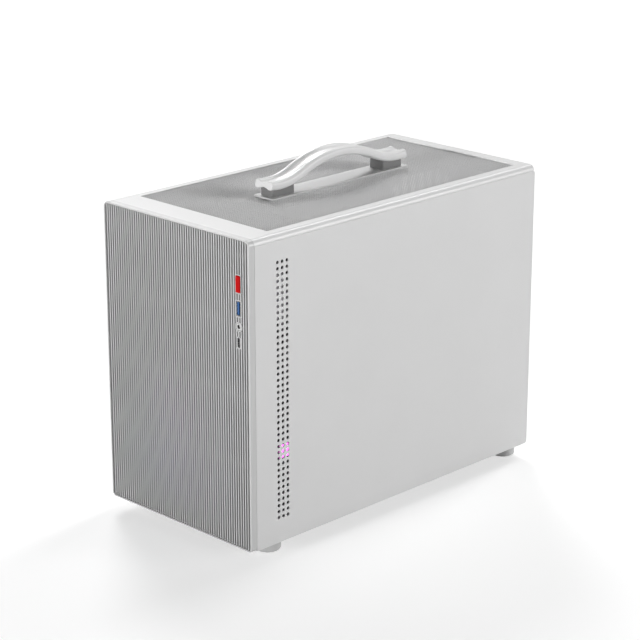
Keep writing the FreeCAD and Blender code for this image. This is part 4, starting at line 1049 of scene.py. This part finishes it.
# %% Screws
HEAD_T, HEAD_RIM = 2.4, 0.35
DOME_DEG = (25, 45, 62, 76, 89)
SHANK_SHARE, TIP_SHARE, TIP_L = 0.55, 0.7, 0.4
CROSS_DEPTH, CROSS_FOOT, CROSS_MOUTH, CROSS_OVER = 0.6, 0.6, 1.1, 1.0
ARM_W, ARM_L = 0.22, 0.62
ARM = ((ARM_W, -ARM_W), (ARM_L, -ARM_W), (ARM_L, ARM_W))
CROSS = list(ARM) + [(-v, u) for u, v in ARM] + [(-u, -v) for u, v in ARM] + [(v, -u) for u, v in ARM]


def loose_parts(node):
    """Boxes of the separate bodies in one solid, in millimetres."""
    bm = bmesh.new()
    bm.from_mesh(frame["nodes"][node].data)
    bmesh.ops.remove_doubles(bm, verts=bm.verts, dist=SOLID_WELD_M)
    todo = set(bm.verts)
    boxes = []
    while todo:
        group, edge = set(), [todo.pop()]
        while edge:
            vert = edge.pop()
            group.add(vert.co.copy().freeze())
            near = {e.other_vert(vert) for e in vert.link_edges} & todo
            todo -= near
            edge.extend(near)
        axes = list(zip(*group))
        boxes.append((Vector(map(min, axes)) / MM, Vector(map(max, axes)) / MM))
    bm.free()
    return boxes


def screw_set(node, out):
    """Domed screws whose heads look along out."""
    bm, cutter = bmesh.new(), bmesh.new()
    out = Vector(out)
    axis = max(range(3), key=lambda i: abs(out[i]))
    side = (axis + 1) % 3
    for low, high in loose_parts(node):
        centre = (low + high) / 2
        seat = centre.copy()
        seat[axis] = high[axis] - HEAD_T if out[axis] > 0 else low[axis] + HEAD_T
        head_r = (high[side] - low[side]) / 2
        reach = high[axis] - low[axis] - HEAD_T
        shank_r = SHANK_SHARE * head_r
        profile = [(ON_AXIS, -reach), (TIP_SHARE * shank_r, -reach), (shank_r, TIP_L - reach), (shank_r, 0.0),
                   (head_r, 0.0), (head_r, HEAD_RIM * HEAD_T)]
        for a in map(math.radians, DOME_DEG):
            profile.append((head_r * math.cos(a), HEAD_T * (HEAD_RIM + (1 - HEAD_RIM) * math.sin(a))))
        lathe(bm, profile, seat, out, steps=32)
        turn = aim(out)
        ends = ((CROSS_FOOT, HEAD_T * (1 - CROSS_DEPTH)), (CROSS_MOUTH, HEAD_T + CROSS_OVER))
        loft(cutter, [[seat + turn @ Vector((u * head_r * k, v * head_r * k, h)) for u, v in CROSS]
                      for k, h in ends])
    return carve(bm, cutter)


SCREWS = (
    ("inlet_screws", (0, 1, 0)), ("fan_screws", (0, 1, 0)), ("io_screws", (0, 1, 0)),
    ("handle_screws", (0, 0, -1)), ("foot_screws", (0, 0, -1)),
)
for node, out in SCREWS:
    add_piece("domed_" + node, screw_set(node, out), "chassis", "zinc", [node])

# %% [markdown]
# The thumbscrews of the slot covers are knurled, so that fingers can turn them. A loop whose points step in
# and out gives the knurl, and its ends are drawn in to a chamfer.

# %% Thumbscrews
KNURL_TEETH, TOOTH_POINTS, KNURL_DEPTH, KNURL_CHAMFER = 30, 4, 0.28, 0.5
THUMB_L, THUMB_SHANK_R, THUMB_SHANK_L, THUMB_TIP_L = 5.0, 1.6, 5.0, 0.5


def thumbscrews():
    bm = bmesh.new()
    for low, high in loose_parts("slot_thumbscrews"):
        centre = (low + high) / 2
        radius = (high.z - low.z) / 2
        loops = []
        for along, inset in ((0.0, KNURL_CHAMFER), (KNURL_CHAMFER, 0.0), (THUMB_L - KNURL_CHAMFER, 0.0),
                             (THUMB_L, KNURL_CHAMFER)):
            loop = []
            for i in range(TOOTH_POINTS * KNURL_TEETH):
                depth = KNURL_DEPTH if i % TOOTH_POINTS < TOOTH_POINTS // 2 else 0.0
                turn = 2 * math.pi * i / (TOOTH_POINTS * KNURL_TEETH)
                r = min(radius - inset, radius - depth)
                loop.append((centre.y + r * math.cos(turn), centre.z + r * math.sin(turn)))
            loops.append(on_x(loop, high.x - THUMB_L + along))
        loft(bm, loops)
        shank = [(THUMB_SHANK_R, 0.0), (THUMB_SHANK_R, THUMB_SHANK_L - THUMB_TIP_L),
                 (TIP_SHARE * THUMB_SHANK_R, THUMB_SHANK_L)]
        lathe(bm, shank, (high.x - THUMB_L, centre.y, centre.z), (-1, 0, 0), steps=24)
    return bm


add_piece("knurled_thumbscrews", thumbscrews(), "chassis", "zinc", ["slot_thumbscrews"])

# %% [markdown]
# The fan's rotor is a cup with nine blades. A blade is thin and hollow on one side. It leans less and less
# towards its tip, where the air is faster, and it sweeps forward. Sections along the blade carry the lean,
# and the loft between them does the rest.

# %% Fan rotor
ROTOR_LOW, ROTOR_HIGH = span("fan_rotor")
FAN_AXIS_Z = (ROTOR_LOW.z + ROTOR_HIGH.z) / 2
HUB_R, HUB_WALL, HUB_L, HUB_EDGE_R = 20.0, 2.0, 19.0, 2.5
BLADES, BLADE_ROOT_R, BLADE_TIP_R = 9, 19.0, 56.0
ROOT_DEG, TIP_DEG, SWEEP_DEG = 48.0, 26.0, 9.0
CHORD, CAMBER, BLADE_T = 19.0, 1.6, 1.5
SPAN_STEPS, CHORD_STEPS, LEAST_ROUND = 8, 8, 0.02
SHAFT_R = 1.5


def blade_section():
    """Points over the back of the blade and back along its hollow side."""
    sides = []
    for way in (1, -1):
        for j in range(CHORD_STEPS + 1):
            u = way * (2 * j / CHORD_STEPS - 1)
            half_t = BLADE_T / 2 * math.sqrt(max(1 - u ** 4, LEAST_ROUND))
            sides.append((u * CHORD / 2, CAMBER * (1 - u * u) + way * half_t))
    return sides


def blade(bm, turn_deg, middle_y):
    loops = []
    for i in range(SPAN_STEPS + 1):
        share = i / SPAN_STEPS
        radius = BLADE_ROOT_R + (BLADE_TIP_R - BLADE_ROOT_R) * share
        lean = math.radians(ROOT_DEG + (TIP_DEG - ROOT_DEG) * share)
        loop = []
        for along, across in blade_section():
            side = along * math.cos(lean) - across * math.sin(lean)
            depth = along * math.sin(lean) + across * math.cos(lean)
            turn = math.radians(turn_deg + SWEEP_DEG * share * share) + side / radius
            loop.append((radius * math.sin(turn), middle_y + depth, FAN_AXIS_Z + radius * math.cos(turn)))
        loops.append(loop)
    loft(bm, loops)


def fan_rotor():
    bm = bmesh.new()
    front_y = ROTOR_LOW.y
    at, axis = (0, front_y, FAN_AXIS_Z), (0, 1, 0)
    profile = [(ON_AXIS, 0.0)] + arc((HUB_R - HUB_EDGE_R, HUB_EDGE_R), HUB_EDGE_R, -90, 0, steps=6)
    profile += [(HUB_R, HUB_L), (HUB_R - HUB_WALL, HUB_L), (HUB_R - HUB_WALL, HUB_WALL), (ON_AXIS, HUB_WALL)]
    lathe(bm, profile, at, axis, steps=64)
    lathe(bm, [(SHAFT_R, HUB_WALL / 2), (SHAFT_R, ROTOR_HIGH.y - front_y)], at, axis, steps=24)
    for i in range(BLADES):
        blade(bm, 360 * i / BLADES, front_y + HUB_L / 2)
    return bm


add_piece("bladed_rotor", fan_rotor(), "fan", "black_plastic", ["fan_rotor"])

# %% [markdown]
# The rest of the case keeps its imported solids: bent sheets, small mouldings, posts and pins. Their edges
# are sharp, so each gets a small rounding from a modifier, of the size that its material would have: a
# tenth or two of a millimetre on a deburred sheet, more on a moulding.

# %% Rounded edges on the remaining solids
EDGE_WIDTHS = {
    0.12: ("base_pan", "front_wall", "top_frame", "rear_panel", "board_tray", "fan_wall", "handle_rail",
           "slot_covers", "io_board", "board_standoffs", "inlet_pins"),
    0.30: ("handle_posts", "mains_inlet", "fan_frame", "io_carrier", "power_switch", "panel_sockets",
           "front_clips"),
}
ROUND_FROM_DEG = 35

for width, nodes in EDGE_WIDTHS.items():
    for node in nodes:
        solid = frame["nodes"][node]
        weld = solid.modifiers.new("weld", "WELD")
        weld.merge_threshold = SOLID_WELD_M
        rounding = solid.modifiers.new("rounding", "BEVEL")
        rounding.width = width * MM
        rounding.segments = 2
        rounding.limit_method = "ANGLE"
        rounding.angle_limit = math.radians(ROUND_FROM_DEG)
        rounding.harden_normals = True
print(sum(len(nodes) for nodes in EDGE_WIDTHS.values()), "solids with rounded edges")

# %% [markdown]
# The floor is wide, pale paper. Nearly half of its white comes from the lamps. The rest is a light of its
# own that only the camera, mirrors and glass see, so the background is white while the case isn't lit by
# it. The shadow of the case stays on the paper.

# %% Floor
FLOOR_HALF = 9000.0
FLOOR_LIFT = 0.58
PAPER_SHADES = (0.63, 0.65)
SEEN_BY = ("Is Camera Ray", "Is Glossy Ray", "Is Transmission Ray")

paper = Finish("studio_paper")
fibres = paper.grain(size=1.5, detail=4.0)
rays = 0.0
for kind in SEEN_BY:
    rays = rays + paper.add("ShaderNodeLightPath", out=kind)
glow = paper.mix(rays, grey(0), grey(FLOOR_LIFT))
paper.shade({"Base Color": paper.mix(fibres, *map(grey, PAPER_SHADES)), "Roughness": 0.9,
             "Specular IOR Level": 0.1, "Emission Color": glow, "Emission Strength": 1.0})
sheet = bmesh.new()
bmesh.ops.create_grid(sheet, x_segments=1, y_segments=1, size=FLOOR_HALF * MM)
floor_mesh = bpy.data.meshes.new("floor")
sheet.to_mesh(floor_mesh)
sheet.free()
floor_mesh.materials.append(paper.material)
floor = link(bpy.data.objects.new("floor", floor_mesh))
print("floor", 2 * FLOOR_HALF * MM, "m wide")

# %% [markdown]
# The light is that of a studio with most of its lamps behind the case. One stands to the rear left and
# throws the shadow of the handle across the mesh, toward the camera. One straight behind draws a white line
# along the rounded top edge and along the handle. The front and the right side each have a low lamp of
# their own, which can't reach into the gaps between the ribs, so the gaps stay dark. The room itself gives
# little light, and is seen as plain white. The wider a lamp looks from the case, the softer its shadows:
# that is the last number of each, in degrees, after its direction and its strength.

# %% Light
ROOM_LEVEL = 0.05
LAMPS = (
    ("rear_left", (-0.67, 0.45, 0.59), 1.75, 20.0),
    ("rear", (-0.07, 0.68, 0.73), 0.85, 14.0),
    ("front", (-0.06, -0.99, 0.07), 2.90, 20.0),
    ("right", (0.82, 0.56, 0.08), 2.55, 30.0),
)

world = bpy.data.worlds.new("studio")
bpy.context.scene.world = world
world.use_nodes = True
tree = world.node_tree
paths = tree.nodes.new("ShaderNodeLightPath")
room = tree.nodes["Background"]
room.inputs["Color"].default_value = grey(1)
seen = paths.outputs[SEEN_BY[0]]
for kind in SEEN_BY[1:]:
    either = tree.nodes.new("ShaderNodeMath")
    either.operation = "MAXIMUM"
    tree.links.new(seen, either.inputs[0])
    tree.links.new(paths.outputs[kind], either.inputs[1])
    seen = either.outputs[0]
level = tree.nodes.new("ShaderNodeMapRange")
level.inputs["To Min"].default_value = ROOM_LEVEL
level.inputs["To Max"].default_value = 1.0
tree.links.new(seen, level.inputs["Value"])
tree.links.new(level.outputs[0], room.inputs["Strength"])

for name, toward, strength, spread in LAMPS:
    lamp = bpy.data.lights.new(name, "SUN")
    lamp.energy = strength
    lamp.angle = math.radians(spread)
    holder = link(bpy.data.objects.new(name, lamp))
    holder.rotation_euler = Vector(toward).to_track_quat("Z", "Y").to_euler()
bpy.context.scene.view_settings.view_transform = "Standard"
print(len(LAMPS), "lamps")
